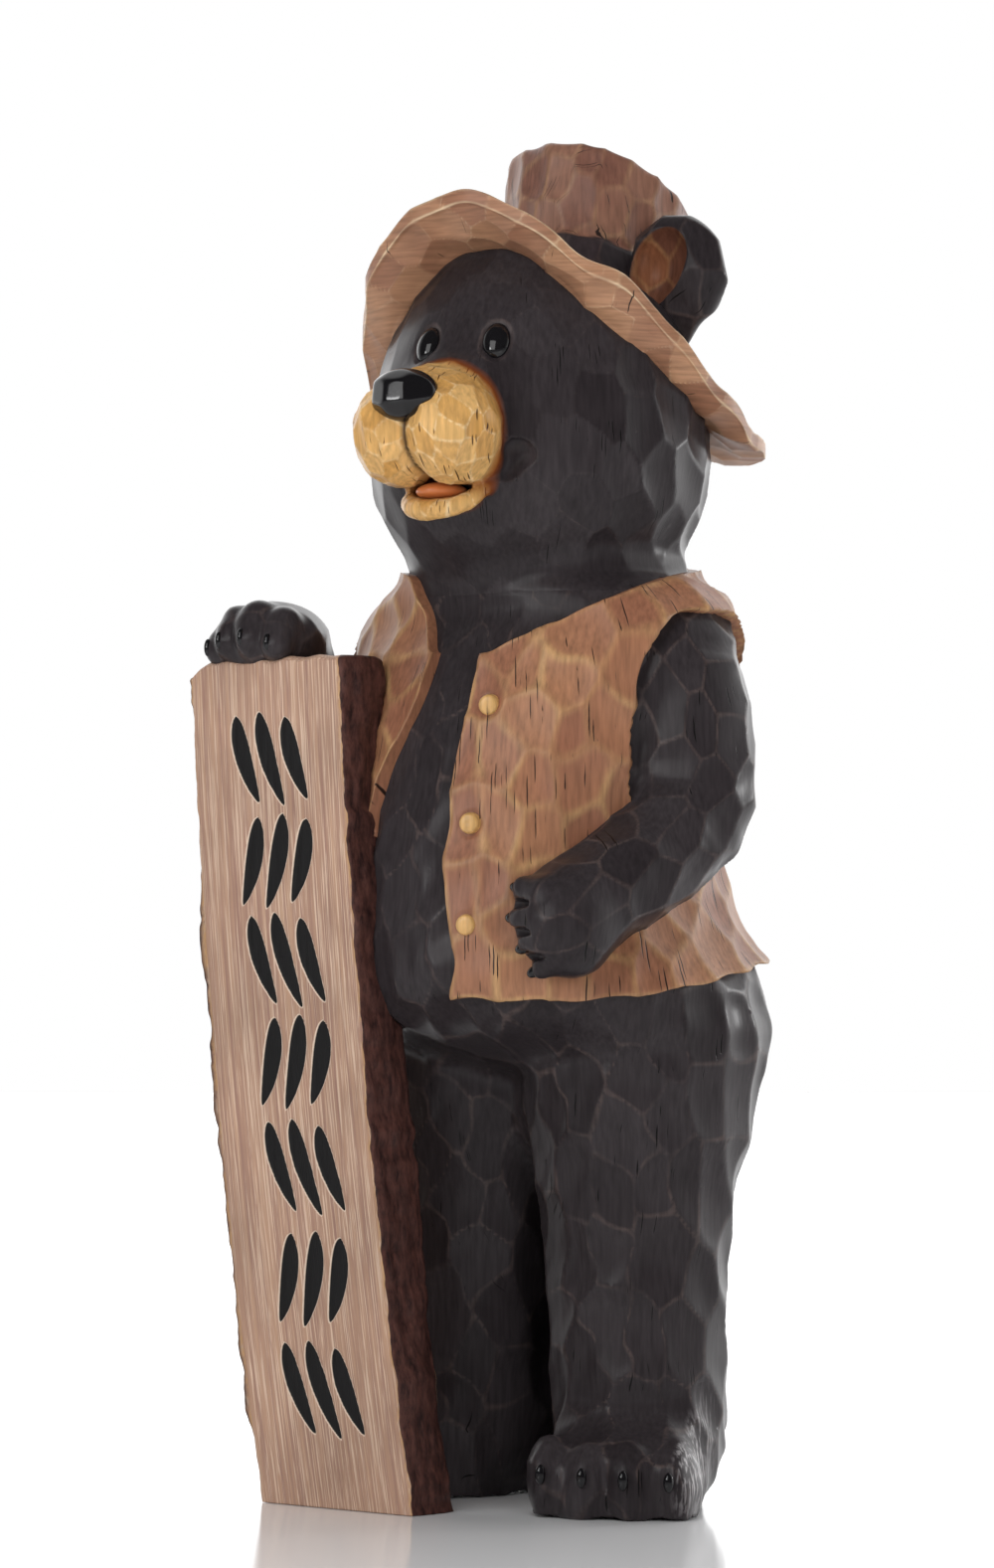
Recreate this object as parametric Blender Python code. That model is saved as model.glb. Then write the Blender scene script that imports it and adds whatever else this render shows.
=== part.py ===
"""A standing bear in a hat and an open waistcoat, with one paw on an upright plank.

The bear is one casting: each form of the body, the waistcoat and the hat is a closed solid worked
out from its sizes, and a Boolean joins them all. The plank, bark left on its edges, is a piece of
its own that stands in front of the right leg.
Metres. The statue stands on z = 0 round the origin and faces -Y, and the bear's left side is +X.
Every form is set out from the body's own upright axis, which stands a little off the origin.
"""

import math

import bmesh
import bpy
import numpy as np

BODY_AXIS = (0.0152, 0.0187, 0.0)   # the body's upright axis, from the middle of the footprint
PLAY = 0.0003            # gap between the bear and the plank
SINK = 0.012             # how far the forms reach below the floor before the underside is cut flat
ROUNDNESS = 2.2          # power of the superellipse that trunk and legs are cut to
SIDES = 26               # flats round the trunk

# Body: (height, shift of the centre along Y, half width, half depth) from hips to neck.
TRUNK = [
    (0.236, 0.020, 0.050, 0.030), (0.250, 0.012, 0.090, 0.062), (0.266, 0.000, 0.116, 0.094),
    (0.288, -0.008, 0.124, 0.111), (0.331, -0.018, 0.110, 0.107), (0.364, -0.020, 0.100, 0.102),
    (0.430, -0.018, 0.104, 0.091), (0.466, -0.015, 0.112, 0.083), (0.496, -0.010, 0.119, 0.075),
    (0.508, -0.009, 0.116, 0.071), (0.522, -0.006, 0.102, 0.074), (0.531, -0.006, 0.085, 0.074),
    (0.542, -0.006, 0.079, 0.073), (0.580, -0.008, 0.066, 0.060),
]
# Left leg: (height, x, y, half width, half depth). The right leg mirrors it.
LEG = [
    (-SINK, 0.064, -0.006, 0.042, 0.042), (0.030, 0.064, -0.006, 0.044, 0.044),
    (0.060, 0.064, -0.006, 0.048, 0.048), (0.118, 0.063, -0.005, 0.050, 0.050),
    (0.176, 0.062, -0.003, 0.055, 0.056), (0.236, 0.061, 0.002, 0.065, 0.068),
    (0.271, 0.060, 0.006, 0.065, 0.072), (0.298, 0.057, 0.005, 0.052, 0.062),
]
# Solid web between the legs, (height, y, half width, half depth), and the stub of a tail.
WEB = [(-SINK, 0.052, 0.078, 0.018), (0.100, 0.048, 0.080, 0.020), (0.200, 0.040, 0.083, 0.034),
       (0.285, 0.030, 0.085, 0.045)]
TAIL_CENTRE, TAIL_RADIUS = (0.0, 0.100, 0.270), 0.018

# Left foot, in its own frame: u runs forward from the toe line.
FOOT_TURN = math.radians(24)
FOOT_FRONT = (0.0985, -0.0765)
FOOT = [  # (height, centre along u, half length, half width)
    (-SINK, -0.072, 0.070, 0.045), (0.018, -0.072, 0.072, 0.0475), (0.034, -0.074, 0.069, 0.046),
    (0.046, -0.080, 0.061, 0.043), (0.058, -0.090, 0.049, 0.040), (0.072, -0.097, 0.037, 0.037),
]
FOOT_SQUARENESS, FOOT_TAPER = 3.0, 0.12      # superellipse power, and how much the heel is narrower
TOE_SPACING, TOE_FIRST, TOE_BACK, TOE_HEIGHT = 0.0240, -0.0360, -0.015, 0.022
OUTER_TOE_BACK = 0.006                       # the outer toes stand back from the middle ones
TOE_RADII = (0.0128, 0.024, 0.024)
CLAW_RADII, CLAW_AHEAD, CLAW_UP = (0.0048, 0.0085, 0.0055), 0.022, 0.001

# Arms: (x, y, z, radius) along the middle of each. The left one lies across the belly; the right
# one comes forward round the plank and rests its paw on the top.
LEFT_ARM = [
    (0.095, -0.006, 0.496, 0.033), (0.103, -0.012, 0.472, 0.036), (0.110, -0.012, 0.436, 0.034),
    (0.112, -0.014, 0.401, 0.034), (0.109, -0.042, 0.373, 0.032), (0.100, -0.080, 0.351, 0.030),
    (0.088, -0.106, 0.336, 0.026),
]
RIGHT_ARM = [
    (-0.099, -0.006, 0.496, 0.033), (-0.108, -0.012, 0.472, 0.036), (-0.122, -0.020, 0.441, 0.034),
    (-0.131, -0.036, 0.424, 0.031), (-0.131, -0.062, 0.441, 0.028), (-0.128, -0.080, 0.471, 0.025),
    (-0.126, -0.092, 0.493, 0.024),
]
LEFT_PALM, LEFT_PALM_RADII = (0.086, -0.112, 0.330), (0.022, 0.030, 0.030)
LEFT_TIPS = [(0.073, -0.127, 0.353), (0.072, -0.128, 0.335), (0.074, -0.127, 0.318),
             (0.083, -0.124, 0.302)]
RIGHT_PALM, RIGHT_PALM_RADII = (-0.126, -0.108, 0.499), (0.036, 0.030, 0.021)
RIGHT_TIPS = [(-0.154, -0.128, 0.496), (-0.136, -0.137, 0.497), (-0.117, -0.141, 0.497),
              (-0.099, -0.138, 0.496)]
FINGER_RADIUS, FINGER_LENGTH = 0.0090, 0.026
FINGER_CLAW_RADII, FINGER_CLAW_AHEAD = (0.0042, 0.0046, 0.0036), 0.006

# Waistcoat: a shell that stands proud of the trunk, open at the front.
CLOTH_PROUD, CLOTH_BURIED = 0.007, 0.016
OPENING_TURN = math.radians(13.5)
NECKLINE = [(13, 0.485), (46, 0.508), (80, 0.526), (104, 0.535), (180, 0.547)]  # (turn, height)
HEM_FRONT, HEM_BACK, HEM_RISES = 0.290, 0.310, (50, 130)   # it rises between these turns
HEM_FLARE, FLARE_HEIGHT, FLARE_IN_FRONT = 0.009, 0.045, 0.35
BUTTON_RADIUS, BUTTON_THICK = 0.0058, 0.0035
BUTTON_HEIGHTS = (0.458, 0.390, 0.331)
BUTTON_TURN = math.radians(21)

# Head: it is turned a little to the bear's left. Places on it and on the hat are measured from
# the vertical line through the middle of the skull.
NECK_Y, HEAD_TURN = -0.015, math.radians(7)
HEAD_HEIGHT, HEAD_HALF_WIDTH, HEAD_UP, HEAD_DOWN = 0.603, 0.099, 0.141, 0.096
HAT_LINE, HAT_SLOPE = 0.687, 0.63   # the skull ends on a slanting plane under the hat
LOBE_CENTRE, LOBE_RADII = (0.0178, -0.1145, 0.609), (0.0268, 0.0320, 0.031)
BRIDGE_CENTRE, BRIDGE_RADII = (0.0, -0.096, 0.627), (0.033, 0.046, 0.024)
CHIN_CENTRE, CHIN_RADII = (0.0, -0.102, 0.5735), (0.026, 0.034, 0.0145)
NOSE_CENTRE, NOSE_RADII = (0.0, -0.144, 0.6280), (0.0190, 0.013, 0.0135)
EYE_CENTRE, EYE_RADII = (0.0237, -0.085, 0.661), (0.0075, 0.0070, 0.0090)
EAR_CENTRE, EAR_WIDTH = (0.077, 0.026, 0.709), 0.92
EAR_PROFILE = [  # (radius, distance along Y) from the back to the bottom of the cup
    (0.016, 0.0165), (0.027, 0.012), (0.034, 0.001), (0.0335, -0.009), (0.028, -0.0140),
    (0.0225, -0.0125), (0.017, -0.004), (0.009, 0.000),
]

# Hat: the brim is set out round a vertical line, (turn from its front, radius, height), and the
# crown leans back. The band is the wide step at the crown's foot.
BRIM_CENTRE_Y = 0.027
BRIM_EDGE = [(0, 0.120, 0.748), (27, 0.121, 0.727), (36, 0.121, 0.711), (53, 0.119, 0.691),
             (66, 0.119, 0.667), (81, 0.117, 0.640), (101, 0.117, 0.620), (125, 0.118, 0.614),
             (180, 0.122, 0.624)]
BRIM_ROOT = [(0, 0.080, 0.7180), (15, 0.082, 0.715), (33, 0.094, 0.691), (42, 0.099, 0.675),
             (66, 0.098, 0.646), (79, 0.094, 0.632), (105, 0.084, 0.623), (180, 0.066, 0.620)]
BRIM_THICK = 0.008
CROWN_FOOT, CROWN_LEAN = (0.0, 0.033, 0.678), math.radians(24)
CROWN = [  # (distance along the crown's own axis, radius)
    (-0.030, 0.052), (0.0, 0.0525), (0.026, 0.0515), (0.027, 0.0490), (0.055, 0.0525),
    (0.080, 0.0580), (0.087, 0.0565), (0.091, 0.0480),
]
CROWN_TOP_SLOPE = math.radians(12)

# Plank: both edges bow to the bear's right as they rise; x = foot + slope z + bow z^2.
PLANK_FRONT, PLANK_BACK, PLANK_TOP = -0.133, -0.098, 0.483
PLANK_LEFT_EDGE = (-0.1125, -0.185, 0.134)
PLANK_RIGHT_EDGE = (0.0065, -0.179, 0.122)
PLANK_ROWS, FACE_EASE, EDGE_EASE = 12, 0.003, 0.006   # how far the face's edges are eased
BARK_PROUD, BARK_WAVES = 0.006, (31, 13)     # the bark swells and shrinks in two long waves


def superellipse(turn, across, deep):
    """Distance from the middle to a superellipse, at an angle from the front."""
    power = ROUNDNESS
    return (abs(np.sin(turn) / across) ** power + abs(np.cos(turn) / deep) ** power) ** (-1 / power)


def around(turn, radius, x, y, z):
    """Points at a distance and at angles from the front, round a vertical line."""
    turn, radius, x, y, z = np.broadcast_arrays(turn, radius, x, y, z)
    return np.stack([x + radius * np.sin(turn), y - radius * np.cos(turn), z], -1)


def full_turn(sides):
    return np.arange(sides) * (2 * math.pi / sides)


def material(name, colour, roughness):
    made = bpy.data.materials.new(name)
    made.use_nodes = True
    shader = made.node_tree.nodes["Principled BSDF"]
    shader.inputs["Base Color"].default_value = (*colour, 1)
    shader.inputs["Roughness"].default_value = roughness
    shader.inputs["Metallic"].default_value = 0
    return made


def closed_object(name, bm, finish, helper=True):
    """Puts a closed mesh into the scene, faces outward. A helper is only there to be joined."""
    bmesh.ops.recalc_face_normals(bm, faces=bm.faces)
    mesh = bpy.data.meshes.new(name)
    bm.to_mesh(mesh)
    bm.free()
    mesh.materials.append(finish)
    obj = bpy.data.objects.new(name, mesh)
    obj.parent = axis
    if helper:
        forms.objects.link(obj)
        obj.hide_render = True
        obj.display_type = "WIRE"
    else:
        bpy.context.scene.collection.objects.link(obj)
    return obj


def skin(name, rings, finish, ends=None, helper=True):
    """A solid from rings of points: quads between neighbours, and a fan to a tip at each end."""
    rings = np.asarray(rings)
    tips = (rings[0].mean(0), rings[-1].mean(0)) if ends is None else ends
    bm = bmesh.new()
    rows = [[bm.verts.new(point) for point in ring] for ring in rings]
    for low, high in zip(rows, rows[1:]):
        for i in range(len(low)):
            bm.faces.new((low[i - 1], low[i], high[i], high[i - 1]))
    for tip, row in ((tips[0], rows[0]), (tips[1], rows[-1])):
        centre = bm.verts.new(tip)
        for i in range(len(row)):
            bm.faces.new((row[i - 1], row[i], centre))
    return closed_object(name, bm, finish, helper)


def shell(name, outer, inner, finish):
    """A solid between two sheets of points of the same shape, (rows, columns, 3)."""
    bm = bmesh.new()
    sheets = [[[bm.verts.new(p) for p in row] for row in sheet] for sheet in (outer, inner)]
    for rows in sheets:
        for low, high in zip(rows, rows[1:]):
            for i in range(1, len(low)):
                bm.faces.new((low[i - 1], low[i], high[i], high[i - 1]))
    over, under = sheets
    for a, b in ((over[0], under[0]), (over[-1], under[-1]),
                 ([r[0] for r in over], [r[0] for r in under]),
                 ([r[-1] for r in over], [r[-1] for r in under])):
        for i in range(1, len(a)):
            bm.faces.new((a[i - 1], a[i], b[i], b[i - 1]))
    return closed_object(name, bm, finish)


def blob(name, centre, radii, finish, rows=6, sides=12, axes=np.eye(3), drop=1.0):
    """An ellipsoid on the given axes. Below its middle the third radius is drop times as long."""
    lift = np.radians(np.linspace(-90, 90, rows + 1))[1:-1, None]
    turn = full_turn(sides)
    unit = np.stack(np.broadcast_arrays(
        np.cos(lift) * np.sin(turn), -np.cos(lift) * np.cos(turn), np.sin(lift)), -1)
    unit = unit * radii
    unit[..., 2] *= np.where(unit[..., 2] < 0, drop, 1)
    tips = np.array([(0, 0, -radii[2] * drop), (0, 0, radii[2])])
    return skin(name, centre + unit @ axes, finish, centre + tips @ axes)


def limb(name, path, finish, sides, steps=10):
    """A round limb along a path of (x, y, z, radius), with round ends."""
    path = np.array(path)
    along = np.linspace(0, len(path) - 1, steps)
    x, y, z, radius = (np.interp(along, range(len(path)), path[:, i]) for i in range(4))
    points = np.stack([x, y, z], -1)
    forward = np.gradient(points, axis=0)
    forward /= np.linalg.norm(forward, axis=1)[:, None]
    side = np.cross(forward[0], (0.3, 1.0, 0.2))
    turn = full_turn(sides)[:, None]
    rings = []
    for point, ahead, r in zip(points, forward, radius):
        side = side - ahead * (side @ ahead)
        side /= np.linalg.norm(side)
        other = np.cross(ahead, side)
        rings.append(point + r * (np.cos(turn) * side + np.sin(turn) * other))
    ends = []
    for end, sign in ((0, -1), (-1, 1)):
        centre, ahead = points[end], sign * forward[end]
        cap = [centre + (rings[end] - centre) * math.cos(a) + ahead * radius[end] * math.sin(a)
               for a in (math.radians(35), math.radians(65))]
        rings = cap[::-1] + rings if end == 0 else rings + cap
        ends.append(centre + ahead * radius[end])
    return skin(name, rings, finish, ends)


def sections(name, rows, finish, sides=SIDES):
    """A solid from level superellipses, (height, x, y, half width, half depth)."""
    turn = full_turn(sides)
    rings = [around(turn, superellipse(turn, a, b), x, y, z) for z, x, y, a, b in rows]
    return skin(name, rings, finish)


def trunk_surface(turn, z, proud):
    """Points on the trunk at heights and at angles from the front, moved out by a distance."""
    rows = np.array(TRUNK)
    y, a, b = (np.interp(z, rows[:, 0], rows[:, i]) for i in (1, 2, 3))
    return around(turn, superellipse(turn, a, b) + proud, 0, y, z)


def body():
    sections("hips_and_neck", [(z, 0, y, a, b) for z, y, a, b in TRUNK], fur)
    sections("web", [(z, 0, y, a, b) for z, y, a, b in WEB], fur, sides=16)
    blob("tail", TAIL_CENTRE, (TAIL_RADIUS,) * 3, fur, rows=5, sides=8)
    for side in (1, -1):
        sections(f"leg_{side}", [(z, side * x, y, a, b) for z, x, y, a, b in LEG], fur, sides=18)


def foot(side):
    """Sole, instep and four clawed toes, turned outward from the front."""
    turn = FOOT_TURN * side
    ahead = np.array([math.sin(turn), -math.cos(turn), 0])
    across = np.array([math.cos(turn), math.sin(turn), 0])
    axes = np.array([across, -ahead, (0, 0, 1)])
    front = np.array([FOOT_FRONT[0] * side, FOOT_FRONT[1], 0])
    angle = full_turn(18)[:, None]
    power = 2 / FOOT_SQUARENESS
    forth = np.sign(np.cos(angle)) * abs(np.cos(angle)) ** power
    aside = np.sign(np.sin(angle)) * abs(np.sin(angle)) ** power
    aside = aside * (1 - FOOT_TAPER * (1 - np.cos(angle)))
    rings = [front + (0, 0, z) + ahead * (u + length * forth) + across * width * aside
             for z, u, length, width in FOOT]
    skin(f"foot_{side}", rings, fur)
    for i in range(4):
        middle = front + ahead * TOE_BACK + across * (TOE_FIRST + i * TOE_SPACING)
        middle = middle - ahead * OUTER_TOE_BACK * abs(i - 1.5) / 1.5
        blob(f"toe_{side}_{i}", middle + (0, 0, TOE_HEIGHT), TOE_RADII, fur, 5, 8, axes)
        claw = middle + ahead * CLAW_AHEAD + (0, 0, TOE_HEIGHT + CLAW_UP)
        blob(f"toe_claw_{side}_{i}", claw, CLAW_RADII, fur, 3, 5, axes)


def paw(name, palm, radii, tips):
    """A palm and four fingers that reach to their tips, each with a claw."""
    blob(name, palm, radii, fur)
    for i, tip in enumerate(np.array(tips)):
        reach = tip - np.array(palm)
        reach /= np.linalg.norm(reach)
        root = tip - reach * FINGER_LENGTH
        thick, thin = FINGER_RADIUS, FINGER_RADIUS * 0.8
        limb(f"{name}_finger_{i}", [(*root, thick), (*tip, thin)], fur, sides=7, steps=2)
        claw = tip + reach * FINGER_CLAW_AHEAD
        blob(f"{name}_claw_{i}", claw, FINGER_CLAW_RADII, fur, 3, 5)


def arms():
    limb("left_arm", LEFT_ARM, fur, sides=14)
    limb("right_arm", RIGHT_ARM, fur, sides=14)
    paw("left_paw", LEFT_PALM, LEFT_PALM_RADII, LEFT_TIPS)
    paw("right_paw", RIGHT_PALM, RIGHT_PALM_RADII, RIGHT_TIPS)


def waistcoat():
    """Open shell, buttons on the left front, hem flared at the back."""
    turn = np.linspace(OPENING_TURN, 2 * math.pi - OPENING_TURN, 31)
    from_front = np.degrees(np.minimum(turn, 2 * math.pi - turn))
    top = np.interp(from_front, *zip(*NECKLINE))
    back = np.clip((from_front - HEM_RISES[0]) / (HEM_RISES[1] - HEM_RISES[0]), 0, 1)
    back = back * back * (3 - 2 * back)
    hem = HEM_FRONT + (HEM_BACK - HEM_FRONT) * back
    part = np.linspace(0, 1, 9)[:, None]
    z = hem + (top - hem) * part
    flare = HEM_FLARE * (FLARE_IN_FRONT + (1 - FLARE_IN_FRONT) * back)
    flare = flare * np.clip(1 - (z - hem) / FLARE_HEIGHT, 0, 1) ** 2
    outer = trunk_surface(turn, z, CLOTH_PROUD + flare)
    inner = trunk_surface(turn, z, -CLOTH_BURIED)
    shell("waistcoat", outer, inner, cloth)
    for i, z in enumerate(BUTTON_HEIGHTS):
        middle = trunk_surface(BUTTON_TURN, z, CLOTH_PROUD)
        out = np.array([math.sin(BUTTON_TURN), -math.cos(BUTTON_TURN), 0])
        along = np.array([math.cos(BUTTON_TURN), math.sin(BUTTON_TURN), 0])
        angle = full_turn(10)[:, None]
        disc = np.cos(angle) * along + np.sin(angle) * (0, 0, 1)
        rings = [middle + disc * r + out * d for r, d in (
            (BUTTON_RADIUS, -BUTTON_THICK), (BUTTON_RADIUS, BUTTON_THICK * 0.7),
            (BUTTON_RADIUS * 0.75, BUTTON_THICK))]
        skin(f"button_{i}", rings, cloth)


def on_neck(obj):
    """Places a form of the head or the hat, which is worked out round the neck's own axis."""
    obj.parent = neck
    return obj


def head():
    """Skull, muzzle in two lobes, chin below an open mouth, nose, eyes and cupped ears."""
    skull = on_neck(blob("skull", (0, 0, HEAD_HEIGHT), (HEAD_HALF_WIDTH, HEAD_HALF_WIDTH, HEAD_UP),
                         fur, 12, SIDES, drop=HEAD_DOWN / HEAD_UP))
    for vertex in skull.data.vertices:
        vertex.co.z = min(vertex.co.z, HAT_LINE - HAT_SLOPE * vertex.co.y)
    on_neck(blob("bridge", BRIDGE_CENTRE, BRIDGE_RADII, snout, 7, 14))
    on_neck(blob("chin", CHIN_CENTRE, CHIN_RADII, snout, 5, 14))
    on_neck(blob("nose", NOSE_CENTRE, NOSE_RADII, gloss, 4, 8))
    for side in (1, -1):
        mirror = np.array([side, 1, 1])
        on_neck(blob(f"lobe_{side}", LOBE_CENTRE * mirror, LOBE_RADII, snout, 8, 14))
        on_neck(blob(f"eye_{side}", EYE_CENTRE * mirror, EYE_RADII, gloss, 4, 8))
        angle = full_turn(14)
        rings = [EAR_CENTRE * mirror + np.stack(
            [EAR_WIDTH * r * np.cos(angle), np.full(14, y), r * np.sin(angle)], -1)
            for r, y in EAR_PROFILE]
        on_neck(skin(f"ear_{side}", rings, fur))


def through(at, x, y):
    """A smooth curve through stations: a cubic between each two, level at both ends."""
    slope = np.gradient(y, x)
    slope[[0, -1]] = 0
    i = np.clip(np.searchsorted(x, at) - 1, 0, len(x) - 2)
    step = x[i + 1] - x[i]
    t = (at - x[i]) / step
    return (y[i] + (y[i + 1] - y[i]) * t * t * (3 - 2 * t)
            + step * t * (1 - t) * (slope[i] * (1 - t) - slope[i + 1] * t))


def by_turn(stations, turn):
    """Radius and height round the brim, the same on both sides."""
    angles, radii, heights = np.array(stations).T
    from_front = np.degrees(np.minimum(turn, 2 * math.pi - turn))
    return through(from_front, angles, radii), through(from_front, angles, heights)


def hat():
    """A brim turned up all round, and a flared crown with a band, leaning back."""
    turn = full_turn(36)
    edge_r, edge_z = by_turn(BRIM_EDGE, turn)
    root_r, root_z = by_turn(BRIM_ROOT, turn)
    rings = []
    under_edge_z = edge_z - BRIM_THICK
    for out, dip, over in ((0.0, 0.0, 0), (0.55, -0.005, 0), (0.96, 0.0, 0), (1.0, 0.0, 0.5),
                           (0.96, 0.0, 1), (0.5, -0.005, 1), (0.0, 0.0, 1)):
        r = root_r + (edge_r - root_r) * out
        z = root_z + (under_edge_z - root_z) * out + dip + over * BRIM_THICK
        rings.append(around(turn, r, 0, BRIM_CENTRE_Y, z))
    middle = np.array([0, BRIM_CENTRE_Y, HAT_LINE - HAT_SLOPE * BRIM_CENTRE_Y])
    on_neck(skin("brim", rings, cloth, (middle, middle + (0, 0, BRIM_THICK))))

    axis = np.array([0, math.sin(CROWN_LEAN), math.cos(CROWN_LEAN)])
    deep = np.array([0, math.cos(CROWN_LEAN), -math.sin(CROWN_LEAN)])
    angle = full_turn(22)[:, None]
    rings = []
    for along, r in CROWN:
        slope = -math.tan(CROWN_TOP_SLOPE) * np.cos(angle) * r if along > 0.08 else 0
        rings.append(CROWN_FOOT + axis * (along + slope)
                     + r * (np.sin(angle) * (1, 0, 0) + np.cos(angle) * deep))
    on_neck(skin("crown", rings, cloth))


def plank_rings(grow=0.0):
    """Level sections of the plank. grow moves every side outward, for the room it needs."""
    z = np.linspace(0, PLANK_TOP, PLANK_ROWS)
    powers = np.stack([np.ones_like(z), z, z * z])
    left, right = PLANK_LEFT_EDGE @ powers - grow, PLANK_RIGHT_EDGE @ powers + grow
    front, back = PLANK_FRONT - grow, PLANK_BACK + grow
    bark = BARK_PROUD * (0.7 + 0.3 * np.sin(z * BARK_WAVES[0]) * np.sin(z * BARK_WAVES[1] + 1))
    z = z + np.linspace(-1, 1, PLANK_ROWS) * grow
    rings = []
    for a, b, h, swell in zip(left, right, z, bark):
        middle = (front + back) / 2
        corners = [(a + FACE_EASE, front), (b - FACE_EASE, front),
                   (b + swell * 0.5, front + EDGE_EASE), (b + swell, middle),
                   (b + swell * 0.4, back), (a - swell * 0.4, back),
                   (a - swell, middle), (a - swell * 0.3, front + EDGE_EASE)]
        rings.append([(x, y, h) for x, y in corners])
    return np.array(rings)


def floor_cutter():
    """A block under the floor, which cuts the feet, the web and the legs flat."""
    bm = bmesh.new()
    bmesh.ops.create_cube(bm, size=0.4)
    bmesh.ops.translate(bm, verts=bm.verts, vec=(0, 0, -0.2))
    cutter = closed_object("floor", bm, fur)
    forms.objects.unlink(cutter)
    helpers.objects.link(cutter)
    return cutter


def boolean(obj, operation, other):
    """other is an object or a collection of closed solids."""
    modifier = obj.modifiers.new(operation.lower(), "BOOLEAN")
    modifier.operation = operation
    modifier.solver = "EXACT"
    if isinstance(other, bpy.types.Collection):
        modifier.operand_type = "COLLECTION"
        modifier.collection = other
    else:
        modifier.object = other


for old in list(bpy.data.objects):
    bpy.data.objects.remove(old, do_unlink=True)

forms = bpy.data.collections.new("forms")
helpers = bpy.data.collections.new("helpers")
for group in (forms, helpers):
    bpy.context.scene.collection.children.link(group)

axis = bpy.data.objects.new("axis", None)
axis.location = BODY_AXIS
neck = bpy.data.objects.new("neck", None)
neck.parent = axis
neck.location = (0, NECK_Y, 0)
neck.rotation_euler = (0, 0, HEAD_TURN)
for empty in (axis, neck):
    bpy.context.scene.collection.objects.link(empty)

fur = material("painted resin, black-brown fur", (0.018, 0.014, 0.013), 0.45)
cloth = material("painted resin, tan cloth", (0.22, 0.11, 0.05), 0.5)
snout = material("painted resin, ochre snout", (0.62, 0.33, 0.09), 0.45)
gloss = material("gloss black enamel", (0.004, 0.004, 0.005), 0.12)
wood = material("painted resin, pale plank", (0.45, 0.27, 0.15), 0.55)

body()
for which in (1, -1):
    foot(which)
arms()
waistcoat()
head()
hat()

first = forms.objects["hips_and_neck"]
forms.objects.unlink(first)
bpy.context.scene.collection.objects.link(first)
first.name = "bear"
first.hide_render = False
first.display_type = "TEXTURED"
boolean(first, "UNION", forms)
boolean(first, "DIFFERENCE", floor_cutter())
room = skin("plank_room", plank_rings(PLAY), wood)
forms.objects.unlink(room)
helpers.objects.link(room)
boolean(first, "DIFFERENCE", room)

skin("sign_board", plank_rings(), wood, helper=False)
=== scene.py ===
import math

import bpy
import numpy as np
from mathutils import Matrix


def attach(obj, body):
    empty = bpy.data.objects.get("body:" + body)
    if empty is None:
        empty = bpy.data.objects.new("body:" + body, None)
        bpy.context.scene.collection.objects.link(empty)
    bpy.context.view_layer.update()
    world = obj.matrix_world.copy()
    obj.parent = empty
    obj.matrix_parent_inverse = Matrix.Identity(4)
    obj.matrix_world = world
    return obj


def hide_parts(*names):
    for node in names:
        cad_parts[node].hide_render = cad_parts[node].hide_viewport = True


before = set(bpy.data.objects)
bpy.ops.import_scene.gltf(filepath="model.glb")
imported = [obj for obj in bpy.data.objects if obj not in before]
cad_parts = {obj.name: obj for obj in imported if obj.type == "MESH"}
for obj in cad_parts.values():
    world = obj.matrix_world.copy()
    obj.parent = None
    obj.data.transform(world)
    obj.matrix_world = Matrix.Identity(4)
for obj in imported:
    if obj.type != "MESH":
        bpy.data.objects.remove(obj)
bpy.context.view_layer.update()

# The studio. A long lens, low down and 40 degrees round to the bear's left, sees the statue on a
# glossy white table. The room is white behind and beside it and dimmer in front, where the soft
# boxes stand, so dark paint stays dark in front and its far edges catch the light.
AXIS = np.array([0.0152, 0.0187, 0.0])     # the bear's own upright axis
VIEW_TURN, VIEW_DISTANCE, VIEW_HEIGHT = math.radians(40), 2.9, 0.310
VIEW_ASIDE, VIEW_TILT, VIEW_LENS = -0.0348, math.radians(2.057), 114.14
LIT_HEIGHT, TABLE_RADIUS = 0.42, 9
LAMPS = [  # name, place (ahead, to the right, up), width, watts, and whether gloss shows it
    ("key", (-1.7, -1.4, 1.20), 1.30, 16, True),
    ("window", (-1.4, -2.0, 0.80), 0.35, 5, True),
    ("top", (-1.1, -0.3, 2.20), 0.90, 11, False),
    ("fill", (-2.3, 0.7, 0.60), 0.80, 14, False),
    ("rim", (0.9, 2.2, 0.75), 0.30, 8, True),
]
ROOM_TURN = (0.90, 0.32, -0.45)            # the way to the room's bright end, as the places above
ROOM_DIM, ROOM_BRIGHT = 0.05, 1.9


def colour(hex_code):
    """An sRGB hex colour as linear light, with full alpha."""
    value = np.array([int(hex_code[i:i + 2], 16) for i in (1, 3, 5)]) / 255
    linear = np.where(value <= 0.04045, value / 12.92, ((value + 0.055) / 1.055) ** 2.4)
    return (*linear, 1.0)


def add(tree, kind, links=None, out=0, **settings):
    """Adds a node and returns one of its outputs. links sets its inputs, each from a value or from
    another node's output."""
    node = tree.nodes.new("ShaderNode" + kind)
    for name, value in settings.items():
        setattr(node, name, value)
    for name, value in (links or {}).items():
        socket = node.inputs[name]
        if isinstance(value, bpy.types.NodeSocket):
            tree.links.new(value, socket)
        else:
            socket.default_value = value
    return node.outputs[out] if node.outputs else None


def new_material(name, roughness, gloss=0.5):
    """A plain shader of that roughness and specular level: the material, its nodes, the shader."""
    made = bpy.data.materials.new(name)
    made.use_nodes = True
    shader = made.node_tree.nodes["Principled BSDF"]
    shader.inputs["Roughness"].default_value = roughness
    shader.inputs["Specular IOR Level"].default_value = gloss
    return made, made.node_tree, shader


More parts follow.
